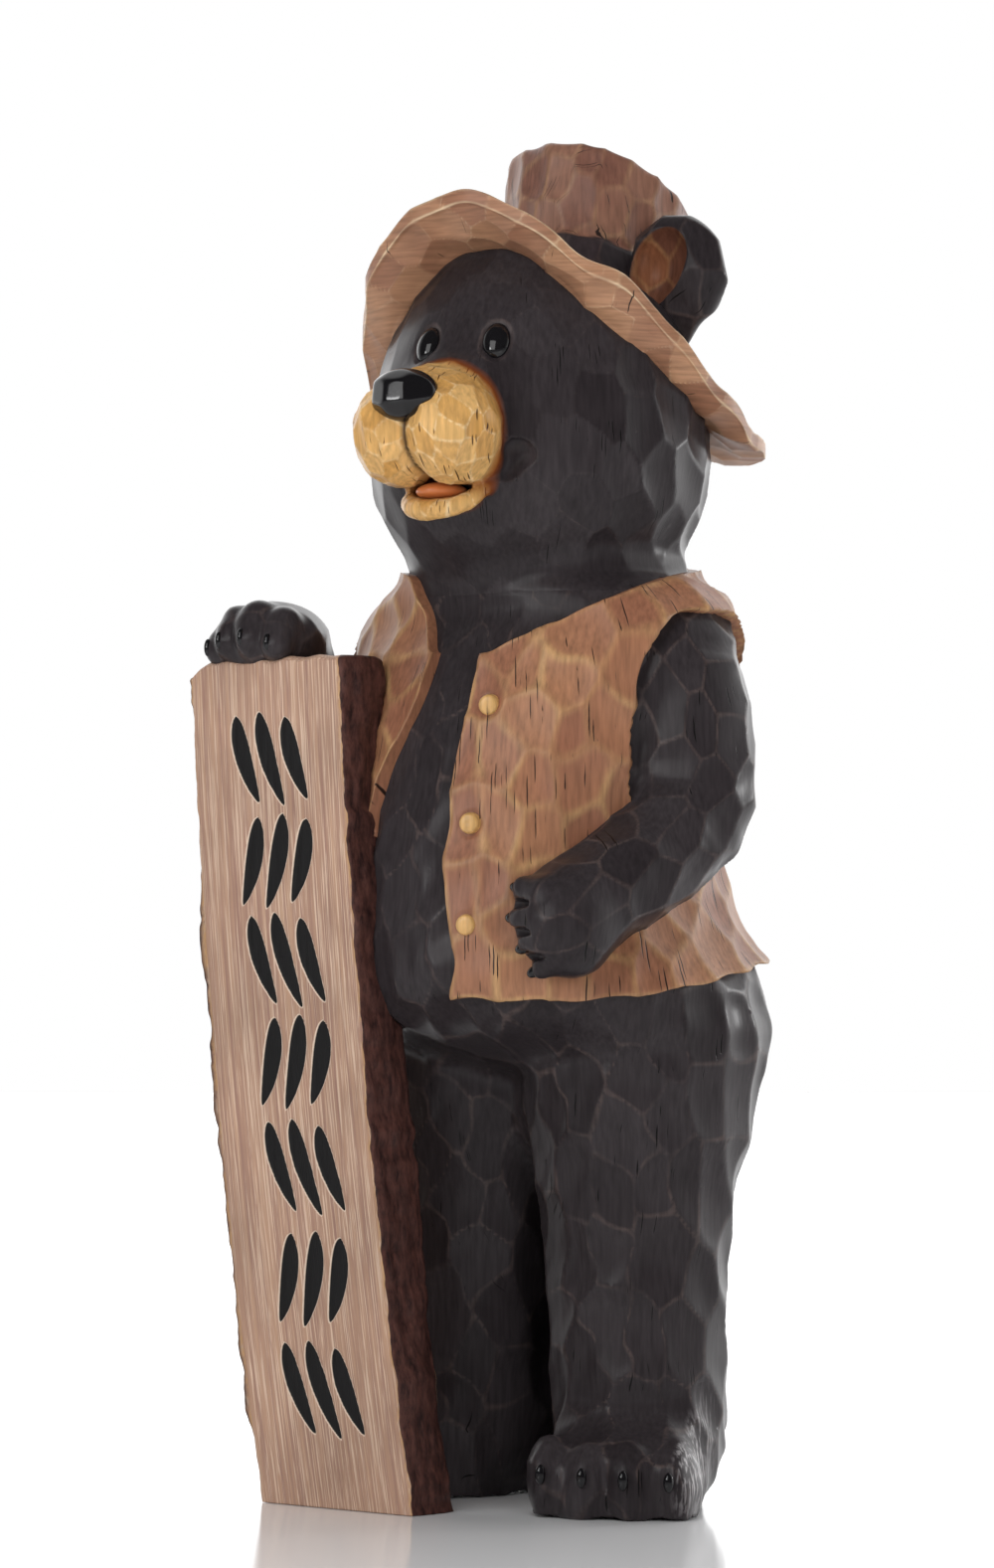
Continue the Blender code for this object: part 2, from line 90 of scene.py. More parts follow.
def light(name, place, size, power, mirrored):
    """A square soft box that faces the middle of the statue. Gloss shows it only if mirrored."""
    lamp = bpy.data.lights.new(name, "AREA")
    lamp.size, lamp.energy = size, power
    obj = bpy.data.objects.new(name, lamp)
    bpy.context.scene.collection.objects.link(obj)
    obj.location = place
    aim = np.array([0, 0, LIT_HEIGHT]) - place
    obj.rotation_euler = (math.atan2(math.hypot(aim[0], aim[1]), -aim[2]), 0,
                          math.atan2(aim[1], aim[0]) - math.pi / 2)
    obj.visible_camera, obj.visible_glossy = False, mirrored


def studio():
    """The camera, the lamps, the room that gloss mirrors and the table."""
    scene = bpy.context.scene
    scene.view_settings.view_transform = "Standard"
    ahead = np.array([-math.sin(VIEW_TURN), math.cos(VIEW_TURN), 0])
    right = np.array([math.cos(VIEW_TURN), math.sin(VIEW_TURN), 0])
    lens = bpy.data.cameras.new("camera")
    lens.lens, lens.sensor_width, lens.clip_start = VIEW_LENS, 36, 0.05
    camera = bpy.data.objects.new("camera", lens)
    camera.location = AXIS - VIEW_DISTANCE * ahead + VIEW_ASIDE * right + (0, 0, VIEW_HEIGHT)
    camera.rotation_euler = (math.pi / 2 + VIEW_TILT, 0, VIEW_TURN)
    scene.collection.objects.link(camera)
    scene.camera = camera

    for name, (a, b, up), size, power, mirrored in LAMPS:
        light(name, a * ahead + b * right + (0, 0, up), size, power, mirrored)

    world = bpy.data.worlds.new("room")
    world.use_nodes = True
    tree = world.node_tree
    tree.nodes.clear()
    sky = add(tree, "TexCoord", out="Generated")
    a, b, up = ROOM_TURN
    along = add(tree, "VectorMath", {0: sky, 1: tuple(a * ahead + b * right + (0, 0, up))},
                out="Value", operation="DOT_PRODUCT")
    glow = add(tree, "MapRange", {0: along, 1: -0.35, 2: 0.45, 3: ROOM_DIM, 4: ROOM_BRIGHT},
               interpolation_type="SMOOTHSTEP")
    seen = add(tree, "LightPath", out="Is Camera Ray")
    strength = add(tree, "Mix", {"Factor": seen, "A": glow, "B": 1.0})
    back = add(tree, "Background", {"Color": (1, 1, 1, 1), "Strength": strength})
    add(tree, "OutputWorld", {"Surface": back})
    scene.world = world

    # Glossy white board: a soft mirror image of the feet, which fades into white.
    bpy.ops.mesh.primitive_circle_add(vertices=96, radius=TABLE_RADIUS, fill_type="NGON")
    table = bpy.context.object
    table.name = "table"
    board, _, shader = new_material("white glossy table", 0.14, 0.27)
    shader.inputs["Base Color"].default_value = colour("#f7f7f8")
    table.data.materials.append(board)


studio()

# The bear's skin: one resin casting painted brown-black, cut all over with a carver's gouge. Its
# forms are blended in one distance field, the skin is drawn where that is zero, and each cut is
# then pressed in as a shallow dish that meets its neighbours in a ridge.
ROUNDNESS = 2.2
WANDER, WANDER_TURNS = 0.0022, 90          # how far, and how often, a cut's outline wanders
CUT_TRIES, CUT_SPACING, CUT_SAMPLE, CUT_UNEVEN = 9000, 2.4, 16000, 0.3


def through(at, x, y):
    """Smooth curves through stations, a column of y for each: a cubic between each two stations,
    level at both ends."""
    x, y = np.asarray(x, float), np.asarray(y, float).reshape(len(x), -1)
    slope = np.gradient(y, x, axis=0)
    slope[[0, -1]] = 0
    at = np.clip(at, x[0], x[-1])
    i = np.clip(np.searchsorted(x, at) - 1, 0, len(x) - 2)
    step = (x[i + 1] - x[i])[..., None]
    t = (at - x[i])[..., None] / step
    curve = (y[i] + (y[i + 1] - y[i]) * t * t * (3 - 2 * t)
             + step * t * (1 - t) * (slope[i] * (1 - t) - slope[i + 1] * t))
    return np.moveaxis(curve, -1, 0)


def ball(p, centre, radii):
    """Distance to an ellipsoid: k (k - 1) / |q / r|, where q = (p - centre) / r and k = |q|."""
    q = (p - centre) / radii
    k = np.linalg.norm(q, axis=-1)
    return k * (k - 1) / np.maximum(np.linalg.norm(q / radii, axis=-1), 1e-6)


def stack(p, rows, power=ROUNDNESS):
    """Distance to level superellipses (height, x, y, half width, half depth): how far a point is
    from the axis at its height, less how far the outline is in that direction."""
    rows = np.array(rows)
    z = p[..., 2]
    x, y, a, b = through(z, rows[:, 0], rows[:, 1:])
    x, y = p[..., 0] - x, p[..., 1] - y
    far = (abs(x / a) ** power + abs(y / b) ** power) ** (1 / power)
    flat = np.hypot(x, y) * (1 - 1 / np.maximum(far, 1e-3))
    return np.maximum(flat, np.maximum(rows[0, 0] - z, z - rows[-1, 0]))


def tube(p, path):
    """Distance to a round limb: the least, over the runs of a path of (x, y, z, radius), of the
    distance to the run's line less the radius at the nearest place on it."""
    path = np.array(path)
    best = np.full(p.shape[:-1], 1.0)
    for a, b in zip(path, path[1:]):
        run = b[:3] - a[:3]
        t = np.clip((p - a[:3]) @ run / (run @ run), 0, 1)
        near = np.linalg.norm(p - a[:3] - t[..., None] * run, axis=-1) - a[3] - t * (b[3] - a[3])
        best = np.minimum(best, near)
    return best


def smooth_path(path, count):
    """The path of (x, y, z, radius) resampled as a smooth curve."""
    path = np.array(path, float)
    along = np.append(0, np.cumsum(np.linalg.norm(np.diff(path[:, :3], axis=0), axis=1)))
    return through(np.linspace(0, along[-1], count), along, path).T


def blend(a, b, soft):
    """The union of two distances, rounded where they meet: min less soft h (1 - h)."""
    h = np.clip(0.5 + 0.5 * (b - a) / soft, 0, 1)
    return b + (a - b) * h - soft * h * (1 - h)


def without(a, b, soft):
    """Takes b out of a, with a rounded lip."""
    return -blend(-a, b, soft)


def slope_of(field, p, reach=0.0006):
    """The field's gradient, by differences to both sides along each axis."""
    steps = np.eye(3) * reach
    return np.stack([(field(p + s) - field(p - s)) / (2 * reach) for s in steps], -1)


def unit(v):
    """A direction at length 1."""
    return v / np.maximum(np.linalg.norm(v, axis=-1), 1e-9)[..., None]


def laid_in(way, normals):
    """A direction laid into the surface: less its part along each normal, at length 1."""
    return unit(way - normals * (normals * way).sum(-1)[:, None])


def upright(normals):
    """The direction up the surface at each point."""
    return laid_in(np.array([0.0, -0.25, 1.0]), normals)


def skin_of(field, low, high, step):
    """Points and quads over field = 0. The field is read on a grid, in full only in the blocks
    of 4 x 4 x 4 that the surface passes; each grid cell with a change of sign gets a point, moved
    onto the surface along the gradient, and each grid edge with one joins four such points."""
    low = np.array(low, float)
    blocks = np.ceil((np.array(high) - low) / (4 * step)).astype(int)
    corner = np.stack(np.meshgrid(*(np.arange(n) for n in blocks), indexing="ij"), -1) * 4 * step
    rough = field(low + corner + 1.5 * step)
    near = abs(rough) < 6.5 * step
    inner = np.stack(np.meshgrid(*(np.arange(4),) * 3, indexing="ij"), -1) * step
    value = np.empty((*blocks, 4, 4, 4))
    value[:] = rough[..., None, None, None]
    value[near] = field(low + corner[near][:, None, None, None] + inner)
    solid = value.transpose(0, 3, 1, 4, 2, 5).reshape(blocks * 4) < 0
    count = sum(solid[i:][:len(solid) - 1][:, j:][:, :solid.shape[1] - 1]
                [:, :, k:][:, :, :solid.shape[2] - 1].astype(np.int8)
                for i in (0, 1) for j in (0, 1) for k in (0, 1))
    cells = (count > 0) & (count < 8)
    number = np.full(cells.shape, -1)
    number[cells] = np.arange(cells.sum())
    points = low + (np.argwhere(cells) + 0.5) * step
    slope = slope_of(field, points)
    for _ in range(2):
        move = field(points)[:, None] * slope / np.maximum((slope ** 2).sum(-1), 0.25)[:, None]
        points -= np.clip(move, -step, step)
    normals = unit(slope_of(field, points))
    quads = []
    for axis in range(3):
        order = (axis, (axis + 1) % 3, (axis + 2) % 3)
        s, n = solid.transpose(order), number.transpose(order)
        i, j, k = np.nonzero(s[:-1, 1:-1, 1:-1] != s[1:, 1:-1, 1:-1])
        quad = np.stack([n[i, j, k], n[i, j + 1, k], n[i, j + 1, k + 1], n[i, j, k + 1]], -1)
        outward = s[i, j + 1, k + 1]
        quads.append(np.where(outward[:, None], quad, quad[:, ::-1]))
    return points, normals, np.concatenate(quads)


def piece(name, points, faces, material, slot, node="bear", **values):
    """A shown piece from points and faces, smooth, riding on the statue, in place of a CAD node.
    Each further value is stored on its points for the material to read."""
    mesh = bpy.data.meshes.new(name)
    mesh.from_pydata(np.asarray(points + AXIS).tolist(), [], np.asarray(faces).tolist())
    mesh.shade_smooth()
    mesh.materials.append(material)
    for key, value in values.items():
        mesh.attributes.new(key, "FLOAT", "POINT").data.foreach_set("value", value.astype("f4"))
    obj = bpy.data.objects.new(name, mesh)
    bpy.context.scene.collection.objects.link(obj)
    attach(obj, "root")
    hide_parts(node)


def gouge(p, grain, half_width, half_length, seed):
    """The cuts of a gouge. Middles are strewn on the surface and evened out; a point's distance
    to one is |d|, with the part along the grain shortened to fit an oval cut, times a weight and
    plus a lift that differ from cut to cut, which bend the ridges between them. Returns, for each
    point, the nearest distance squared (0 in the middle of a cut, about 1 on a ridge), the way to
    the nearest ridge in metres, and a number from 0 to 1 that is the same all over a cut."""
    rng = np.random.default_rng(seed)
    wave = rng.normal(size=(3, 3)) * WANDER_TURNS
    p = p + WANDER * np.sin(p @ wave + rng.uniform(0, 6, 3))

    def distance(q, middles, ways):
        off = (q * q).sum(-1)[:, None] - 2 * q @ middles.T + (middles * middles).sum(-1)
        on = q @ ways.T - (middles * ways).sum(-1)
        return off / half_width ** 2 + on * on * (half_length ** -2 - half_width ** -2)

    chosen = []
    for i in rng.permutation(len(p))[:CUT_TRIES]:
        if not chosen or distance(p[i:i + 1], p[chosen], grain[chosen]).min() > CUT_SPACING:
            chosen.append(i)
    middles, ways = p[chosen], grain[chosen]
    few = rng.permutation(len(p))[:CUT_SAMPLE]
    for _ in range(2):
        own = distance(p[few], middles, ways).argmin(-1)
        count = np.maximum(np.bincount(own, minlength=len(middles)), 1)[:, None]
        middles = np.stack([np.bincount(own, p[few, i], len(middles)) for i in range(3)], -1) / count
        ways = unit(np.stack([np.bincount(own, grain[few, i], len(ways)) for i in range(3)], -1))
    weight = rng.uniform(1 - CUT_UNEVEN, 1 + CUT_UNEVEN, len(middles))
    lift = rng.uniform(-CUT_UNEVEN, CUT_UNEVEN, len(middles))
    shade = rng.uniform(0, 1, len(middles))
    depth, ridge, cut = np.empty(len(p)), np.empty(len(p)), np.empty(len(p))
    for part in np.array_split(np.arange(len(p)), len(p) // 4000 + 1):
        d = distance(p[part], middles, ways) * weight + lift
        own, row = d.argmin(-1), np.arange(len(d))
        first = d[row, own]
        d[row, own] = np.inf
        ridge[part] = (np.sqrt(np.maximum(d.min(-1), 0)) - np.sqrt(np.maximum(first, 0))) / 2
        depth[part], cut[part] = first, shade[own]
    return depth, ridge * half_width, cut


def dish(depth, ridge=1.6, level=1.1):
    """How far cuts stand out, from their distance squared: capped at the ridge, less a level."""
    return np.minimum(depth, ridge) - level


def stored(tree, name):
    """The value of that name, as stored on the piece's points."""
    return add(tree, "Attribute", out="Fac", attribute_name=name)


def maths(tree, operation, a, b):
    """One step of arithmetic on two values."""
    return add(tree, "Math", {0: a, 1: b}, operation=operation)


def ramp(tree, value, start, end, low=0.0, high=1.0):
    """A value brought from start and end to low and high, in a straight line, and held beyond."""
    return add(tree, "MapRange", {0: value, 1: start, 2: end, 3: low, 4: high})


def mix(tree, share, first, second):
    """The first colour at share 0, the second at 1. Each is a hex colour or an output."""
    first, second = (colour(c) if isinstance(c, str) else c for c in (first, second))
    return add(tree, "Mix", {0: share, 6: first, 7: second}, out=2, data_type="RGBA")


def stretched(tree, place, factors):
    """A place times a factor along each axis: a small one draws a pattern out along it."""
    return add(tree, "VectorMath", {0: place, 1: factors}, operation="MULTIPLY")


def noise(tree, place, scale, detail, roughness=0.5):
    """Soft noise about 1 / scale metres across, with that many finer layers."""
    return add(tree, "TexNoise", {"Vector": place, "Scale": scale, "Detail": detail,
                                  "Roughness": roughness})


def carved_paint(tree, flats, worn, wear, width, cracks, crack_amount, upright_grain=True,
                 crack_rise=0.04):
    """Colour and height of paint over gouge cuts: two tones that vary from cut to cut, a lighter
    one rubbed through along the ridges, streaks 2.4 mm apart up and down (or else around), patches
    of 30 mm, and upright dark cracks. Finer brush marks wouldn't show, so the streaks are coarse."""
    place = add(tree, "TexCoord", out="Object")
    x, y, z = add(tree, "SeparateXYZ", {0: place}).node.outputs
    behind = maths(tree, "MULTIPLY", y, -1.0)
    turn = maths(tree, "ARCTAN2", x, behind)
    ridge = stored(tree, "ridge")
    cut = stored(tree, "cut")
    if upright_grain:
        grain = stretched(tree, place, (1, 1, 0.09))
    else:
        away = add(tree, "VectorMath", {0: place}, out="Value", operation="LENGTH")
        bent = maths(tree, "MULTIPLY", turn, 0.010)
        grain = add(tree, "CombineXYZ", {0: away, 1: bent, 2: z})
    streak = noise(tree, grain, 420, 5)
    patch = noise(tree, place, 34, 4)
    tone = maths(tree, "ADD", cut, patch)
    tone = ramp(tree, tone, 0.6, 1.4)
    flat = mix(tree, tone, *flats)
    near = add(tree, "MapRange", {0: ridge, 1: width, 2: 0.0, 3: 0.0, 4: 1.0},
               interpolation_type="SMOOTHSTEP")
    rubbed = ramp(tree, patch, 0.42, 0.64, 0.45 * wear * wear, wear)
    rubbed = maths(tree, "MULTIPLY", near, rubbed)
    paint = mix(tree, rubbed, flat, worn)
    shade = ramp(tree, streak, 0.25, 0.75, 0.72, 1.25)
    paint = add(tree, "VectorMath", {0: paint, 3: shade}, operation="SCALE")

    sway = noise(tree, place, 90, 1)
    sway = maths(tree, "MULTIPLY", sway, 0.010)
    turn = maths(tree, "ADD", turn, sway)
    around = maths(tree, "MULTIPLY", turn, 0.12)
    lift = maths(tree, "MULTIPLY", z, crack_rise)
    laid = add(tree, "CombineXYZ", {0: around, 1: lift})
    off, mixed = add(tree, "TexVoronoi", {"Vector": laid, "Scale": 430},
                     voronoi_dimensions="2D").node.outputs[:2]
    long = add(tree, "SeparateColor", {0: mixed})
    spread = noise(tree, place, 45, 2)
    here = ramp(tree, spread, 0.62 - 0.16 * crack_amount, 0.70 - 0.16 * crack_amount, 0.0, 0.20)
    long = maths(tree, "MULTIPLY", long, here)
    inside = maths(tree, "SUBTRACT", long, off)
    crack = ramp(tree, inside, 0.0, 0.05)
    paint = mix(tree, crack, paint, cracks)
    height = maths(tree, "MULTIPLY", streak, 0.5)
    height = maths(tree, "SUBTRACT", height, crack)
    return paint, height


def lay_paint(tree, shader, tint, height, bump, deep=0.0004):
    """Gives the shader its colour, and its fine relief from a bump of that strength and depth."""
    relief = add(tree, "Bump", {"Height": height, "Strength": bump, "Distance": deep})
    tree.links.new(tint, shader.inputs["Base Color"])
    tree.links.new(relief, shader.inputs["Normal"])


def carved_resin(name, roughness, gloss, bump, *paint):
    """A material from one such paint."""
    made, tree, shader = new_material(name, roughness, gloss)
    lay_paint(tree, shader, *carved_paint(tree, *paint), bump)
    return made


# Dark satin paint: it stays near black on the flats and shines where a facet turns to the light.
FUR_PAINT = (("#2d282a", "#373234"), "#6b5b56", 0.42, 0.0012, "#0e0c0c", 0.5)
fur = carved_resin("painted resin, dark fur", 0.30, 0.15, 0.40, *FUR_PAINT)

# Trunk, legs, feet and tail: the body of the casting, cut flat underneath, with a web of resin
# between the legs, room for the plank, and pale painted highlights on the feet's outer sides.
TRUNK = [  # (height, x, y, half width, half depth)
    (0.236, 0, 0.020, 0.050, 0.030), (0.250, 0, 0.012, 0.090, 0.062),
    (0.266, 0, 0.000, 0.116, 0.094), (0.288, 0, -0.008, 0.124, 0.111),
    (0.331, 0, -0.018, 0.110, 0.107), (0.364, 0, -0.020, 0.100, 0.102),
    (0.430, 0, -0.018, 0.104, 0.091), (0.466, 0, -0.015, 0.112, 0.083),
    (0.496, 0, -0.010, 0.119, 0.075), (0.508, 0, -0.009, 0.116, 0.071),
    (0.522, 0, -0.006, 0.102, 0.074), (0.531, 0, -0.006, 0.085, 0.074),
    (0.542, 0, -0.006, 0.079, 0.073), (0.580, 0, -0.008, 0.066, 0.060),
]
LEG = [
    (-0.012, 0.062, -0.006, 0.036, 0.038), (0.030, 0.064, -0.006, 0.044, 0.044),
    (0.060, 0.064, -0.006, 0.048, 0.048), (0.118, 0.063, -0.005, 0.050, 0.050),
    (0.176, 0.062, -0.003, 0.055, 0.056), (0.236, 0.061, 0.002, 0.065, 0.068),
    (0.271, 0.060, 0.006, 0.065, 0.072), (0.298, 0.057, 0.005, 0.052, 0.062),
]
WEB = [(-0.012, 0, 0.050, 0.066, 0.016), (0.035, 0, 0.051, 0.076, 0.018),
       (0.100, 0, 0.048, 0.080, 0.020),
       (0.200, 0, 0.040, 0.083, 0.034), (0.285, 0, 0.030, 0.085, 0.045)]
FOOT_TURN, FOOT_FRONT = math.radians(24), np.array([0.0985, -0.0765, 0])
FOOT = [  # the same, with y running back from the toe line
    (-0.012, -0.002, 0.034, 0.0415, 0.0350), (0.018, 0, 0.048, 0.0465, 0.0505),
    (0.032, 0, 0.060, 0.0455, 0.0600), (0.042, 0, 0.072, 0.0440, 0.0620),
    (0.054, 0, 0.084, 0.0420, 0.0560), (0.068, 0, 0.093, 0.0395, 0.0440),
    (0.085, 0, 0.098, 0.0370, 0.0360),
]
TOES = [(-0.0375, 0.017, 0.017), (-0.0128, 0.0135, 0.017), (0.0110, 0.0135, 0.017),
        (0.0360, 0.018, 0.017)]
TOE_RADII, TOE_GAPS = (0.0130, 0.0205, 0.0275), (-0.0252, -0.0009, 0.0238)


def foot_frame(p, side):
    """Points in the frame of a foot: across it, back from the toe line, and up."""
    c, s = math.cos(FOOT_TURN), math.sin(FOOT_TURN)
    x, y = p[..., 0] * side - FOOT_FRONT[0], p[..., 1] - FOOT_FRONT[1]
    return np.stack([x * c + y * s, y * c - x * s, p[..., 2]], -1)


def body_field(p):
    """Trunk, legs, the web between them, the tail, feet and toes, cut flat on the floor."""
    whole = stack(p, TRUNK)
    for side in (1, -1):
        mirrored = p * (side, 1, 1)
        whole = blend(whole, stack(mirrored, LEG), 0.024)
        local = foot_frame(p, side)
        foot = stack(local, FOOT, 3.0)
        for toe in TOES:
            foot = blend(foot, ball(local, toe, TOE_RADII), 0.006)
        for gap in TOE_GAPS:
            foot = without(foot, ball(local, (gap, -0.0070, 0.027), (0.0033, 0.0080, 0.0225)), 0.002)
        whole = blend(whole, foot, 0.014)
    whole = blend(whole, stack(p, WEB), 0.020)
    whole = blend(whole, ball(p, (0, 0.100, 0.270), (0.018, 0.018, 0.018)), 0.012)
    return np.maximum(whole, 0.0004 - p[..., 2])


PLANK_FRONT, PLANK_BACK, PLANK_TOP = -0.133, -0.098, 0.483
PLANK_LEFT_EDGE, PLANK_RIGHT_EDGE = (-0.1125, -0.185, 0.134), (0.0065, -0.179, 0.122)
PLAY = 0.0003                              # gap between bear and plank
BODY_CUT, BODY_PRESS, CHEST_PRESS, NECK_PRESS = (0.013, 0.0215), 0.0020, 0.0009, 0.0012
# GLINT_ZONE: where pale streaks are painted on each foot as a highlight, for the glints on its outer
# side.
GLINT_ZONE = ((0.036, 0.026, 0.036), (0.008, 0.030, 0.026))     # middle and reach, in the foot's frame


def plank_edge(edge, z):
    """How far across an edge of the plank lies at a height: foot + slope z + bow z^2."""
    return edge[0] + edge[1] * z + edge[2] * z ** 2


def off_the_plank(p):
    """Points that lie in the plank, moved out through its back, or its top where that is nearer."""
    x, y, z = p.T
    inside = (x > plank_edge(PLANK_LEFT_EDGE, z)) & (x < plank_edge(PLANK_RIGHT_EDGE, z)) & (
        y > PLANK_FRONT) & (y < PLANK_BACK) & (z < PLANK_TOP)
    up = inside & (PLANK_TOP - z < PLANK_BACK - y)
    p = p.copy()
    p[up, 2] = PLANK_TOP + PLAY
    p[inside & ~up, 1] = PLANK_BACK + PLAY
    return p


body, normals, quads = skin_of(body_field, (-0.165, -0.15, -0.006), (0.165, 0.145, 0.56), 0.0025)
depth, ridge, cut = gouge(body, upright(normals), *BODY_CUT, 3)
local = np.where(body[:, :1] > 0, foot_frame(body, 1), foot_frame(body, -1))
# The mask of the painted highlight on each foot's outer side.
off = (local - GLINT_ZONE[0]) / GLINT_ZONE[1]
scuffed = np.clip(off[:, 0], 0, 1) * np.clip(1.5 - abs(off[:, 1:]), 0, 1).prod(-1)
chest = np.clip((body[:, 2] - 0.33) / 0.1, 0, 1)
neck = np.clip((body[:, 2] - 0.500) / 0.020, 0, 1)
under_head = np.clip((body[:, 2] - 0.520) / 0.010, 0, 1)
press = (BODY_PRESS + (CHEST_PRESS - BODY_PRESS) * chest) * dish(depth)
press = press * (1 - neck) - NECK_PRESS * under_head
body = body + normals * press[:, None]
body[:, 2] = np.maximum(body[:, 2], 0.0003)

# The same dark paint, with pale streaks 2 mm apart painted on the feet's outer sides as a highlight,
# for the glints of light there.
body_paint, tree, shader = new_material("painted resin, dark fur scuffed at the feet", 0.30, 0.15)
dark, height = carved_paint(tree, *FUR_PAINT)
place = add(tree, "TexCoord", out="Object")
place = stretched(tree, place, (1, 1, 0.14))
glint_streak = noise(tree, place, 480, 5)
glint_streak = ramp(tree, glint_streak, 0.48, 0.62)
zone = stored(tree, "scuffed")
glint_streak = maths(tree, "MULTIPLY", glint_streak, zone)
# b4afb0 is the painted highlight: pale grey streaks for the glints on the feet.
tint = mix(tree, glint_streak, dark, "#b4afb0")
lay_paint(tree, shader, tint, height, 0.4)
piece("body", off_the_plank(body), quads, body_paint, "bear_fur",
      ridge=ridge, cut=cut, scuffed=scuffed)

# Arms and paws, cast with the body. The left one lies across the belly; the right one comes
# forward round the plank, and its paw drapes over the top. Made as the body is, in finer cuts.
LEFT_ARM = [
    (0.094, -0.006, 0.493, 0.0295), (0.1025, -0.012, 0.472, 0.0345), (0.110, -0.012, 0.436, 0.035),
    (0.111, -0.015, 0.401, 0.036), (0.109, -0.042, 0.373, 0.032), (0.100, -0.080, 0.351, 0.030),
    (0.088, -0.106, 0.336, 0.026),
]
RIGHT_ARM = [
    (-0.094, -0.006, 0.493, 0.0285), (-0.104, -0.014, 0.470, 0.0335), (-0.120, -0.022, 0.441, 0.0335),
    (-0.131, -0.036, 0.424, 0.031), (-0.131, -0.062, 0.441, 0.028), (-0.128, -0.080, 0.471, 0.025),
    (-0.126, -0.092, 0.493, 0.024),
]
PALMS = {"left": ((0.1010, -0.111, 0.3310), (0.023, 0.028, 0.0305)),
         "right": ((-0.125, -0.112, 0.497), (0.034, 0.027, 0.023))}
FINGERS = {  # knuckle and tip of each, as (x, y, z, radius)
    "left": [((0.094, -0.127, 0.3480, 0.0098), (0.0810, -0.1265, 0.3505, 0.0078)),
             ((0.094, -0.130, 0.3340, 0.0092), (0.0802, -0.1295, 0.3345, 0.0072)),
             ((0.098, -0.129, 0.3215, 0.0085), (0.0870, -0.1290, 0.3190, 0.0066)),
             ((0.103, -0.124, 0.3125, 0.0090), (0.0935, -0.1260, 0.3075, 0.0066))],
    "right": [((-0.1480, -0.118, 0.5025, 0.0108), (-0.1492, -0.1265, 0.4925, 0.0104)),
              ((-0.1380, -0.124, 0.508, 0.0105), (-0.1375, -0.1325, 0.4960, 0.0095)),
              ((-0.1200, -0.126, 0.510, 0.0110), (-0.1185, -0.1335, 0.4970, 0.0103)),
              ((-0.1030, -0.123, 0.506, 0.0108), (-0.1005, -0.1310, 0.4935, 0.0098))],
}
WEBBING = [(0.0760, -0.134, 0.3425), (0.0765, -0.135, 0.3268), (0.0830, -0.134, 0.3132)]
WEBBING_RADII = (0.0180, 0.0115, 0.0027)
ARM_CUT, ARM_PRESS = (0.0115, 0.0175), 0.0018


def arm_field(p, side):
    """A limb along its path, blended into a palm and the shoulder, with four fingers that keep
    a groove between."""
    path = smooth_path(LEFT_ARM if side == "left" else RIGHT_ARM, 15)
    limb = tube(p, path)
    trunk = np.maximum(stack(p, TRUNK), limb - 0.009)
    arm = blend(blend(limb, trunk, 0.012), ball(p, *PALMS[side]), 0.016)
    fingers = [tube(p, finger) for finger in FINGERS[side]]
    hand = fingers[0]
    for finger in fingers[1:]:
        hand = blend(hand, finger, 0.0015)
    arm = blend(arm, hand, 0.005)
    for place in WEBBING if side == "left" else ():
        arm = without(arm, ball(p, place, WEBBING_RADII), 0.0012)
    return arm


def down_the_arm(p, normals, path):
    """The direction along the nearest run of the arm, laid into the surface."""
    path = np.array(path)[:, :3]
    middles, runs = (path[1:] + path[:-1]) / 2, unit(path[1:] - path[:-1])
    near = np.linalg.norm(p[:, None] - middles, axis=-1) + 0.004
    return laid_in(((runs / near[..., None] ** 3).sum(1)) / (near ** -3).sum(1)[:, None], normals)


for side, low, high, path in (("left", (0.045, -0.145, 0.285), (0.158, 0.04, 0.54), LEFT_ARM),
                              ("right", (-0.175, -0.155, 0.38), (-0.055, 0.04, 0.54), RIGHT_ARM)):
    arm, normals, quads = skin_of(lambda p: arm_field(p, side), low, high, 0.0018)
    depth, ridge, cut = gouge(arm, down_the_arm(arm, normals, path), *ARM_CUT, 5)
    paw = np.clip(1.2 - np.linalg.norm(arm - PALMS[side][0], axis=-1) / 0.045, 0, 0.7)
    arm = arm + normals * (ARM_PRESS * (1 - paw) * dish(depth))[:, None]
    piece(f"{side}_arm", off_the_plank(arm), quads, fur, "bear_fur", ridge=ridge, cut=cut)

# Head, cast with the body and turned a little to the bear's left: skull, a muzzle in two lobes
# with a groove between, a lower lip round an open mouth, a hollow at the end of the smile,
# rings carved round the eyes, and a raised brow under the hat. The snout is painted ochre.
HEAD_TURN, NECK = math.radians(7), np.array([0, -0.015, 0])
HEAD_AXES = np.array([(math.cos(HEAD_TURN), math.sin(HEAD_TURN), 0),
                      (-math.sin(HEAD_TURN), math.cos(HEAD_TURN), 0), (0, 0, 1)])
SKULL_HEIGHT, SKULL_HALF_WIDTH, SKULL_UP, SKULL_DOWN = 0.603, 0.099, 0.141, 0.096
HAT_LINE, HAT_SLOPE = 0.687, 0.63          # the skull ends on a slanting plane under the hat
BRIM_CENTRE_Y = 0.027
BRIM_ROOT = [  # angle from the front, radius, height
    (0, 0.080, 0.7180), (15, 0.082, 0.715), (33, 0.094, 0.691), (42, 0.099, 0.675),
    (66, 0.098, 0.646), (79, 0.094, 0.632), (105, 0.084, 0.623), (180, 0.066, 0.620)]
EYES = [(0.0252, 0.6620), (-0.0212, 0.6625)]       # (x, height) of the middle of each
SOCKET_RISE, SOCKET_RADII = 0.0010, (0.0102, 0.0134, 0.0038)
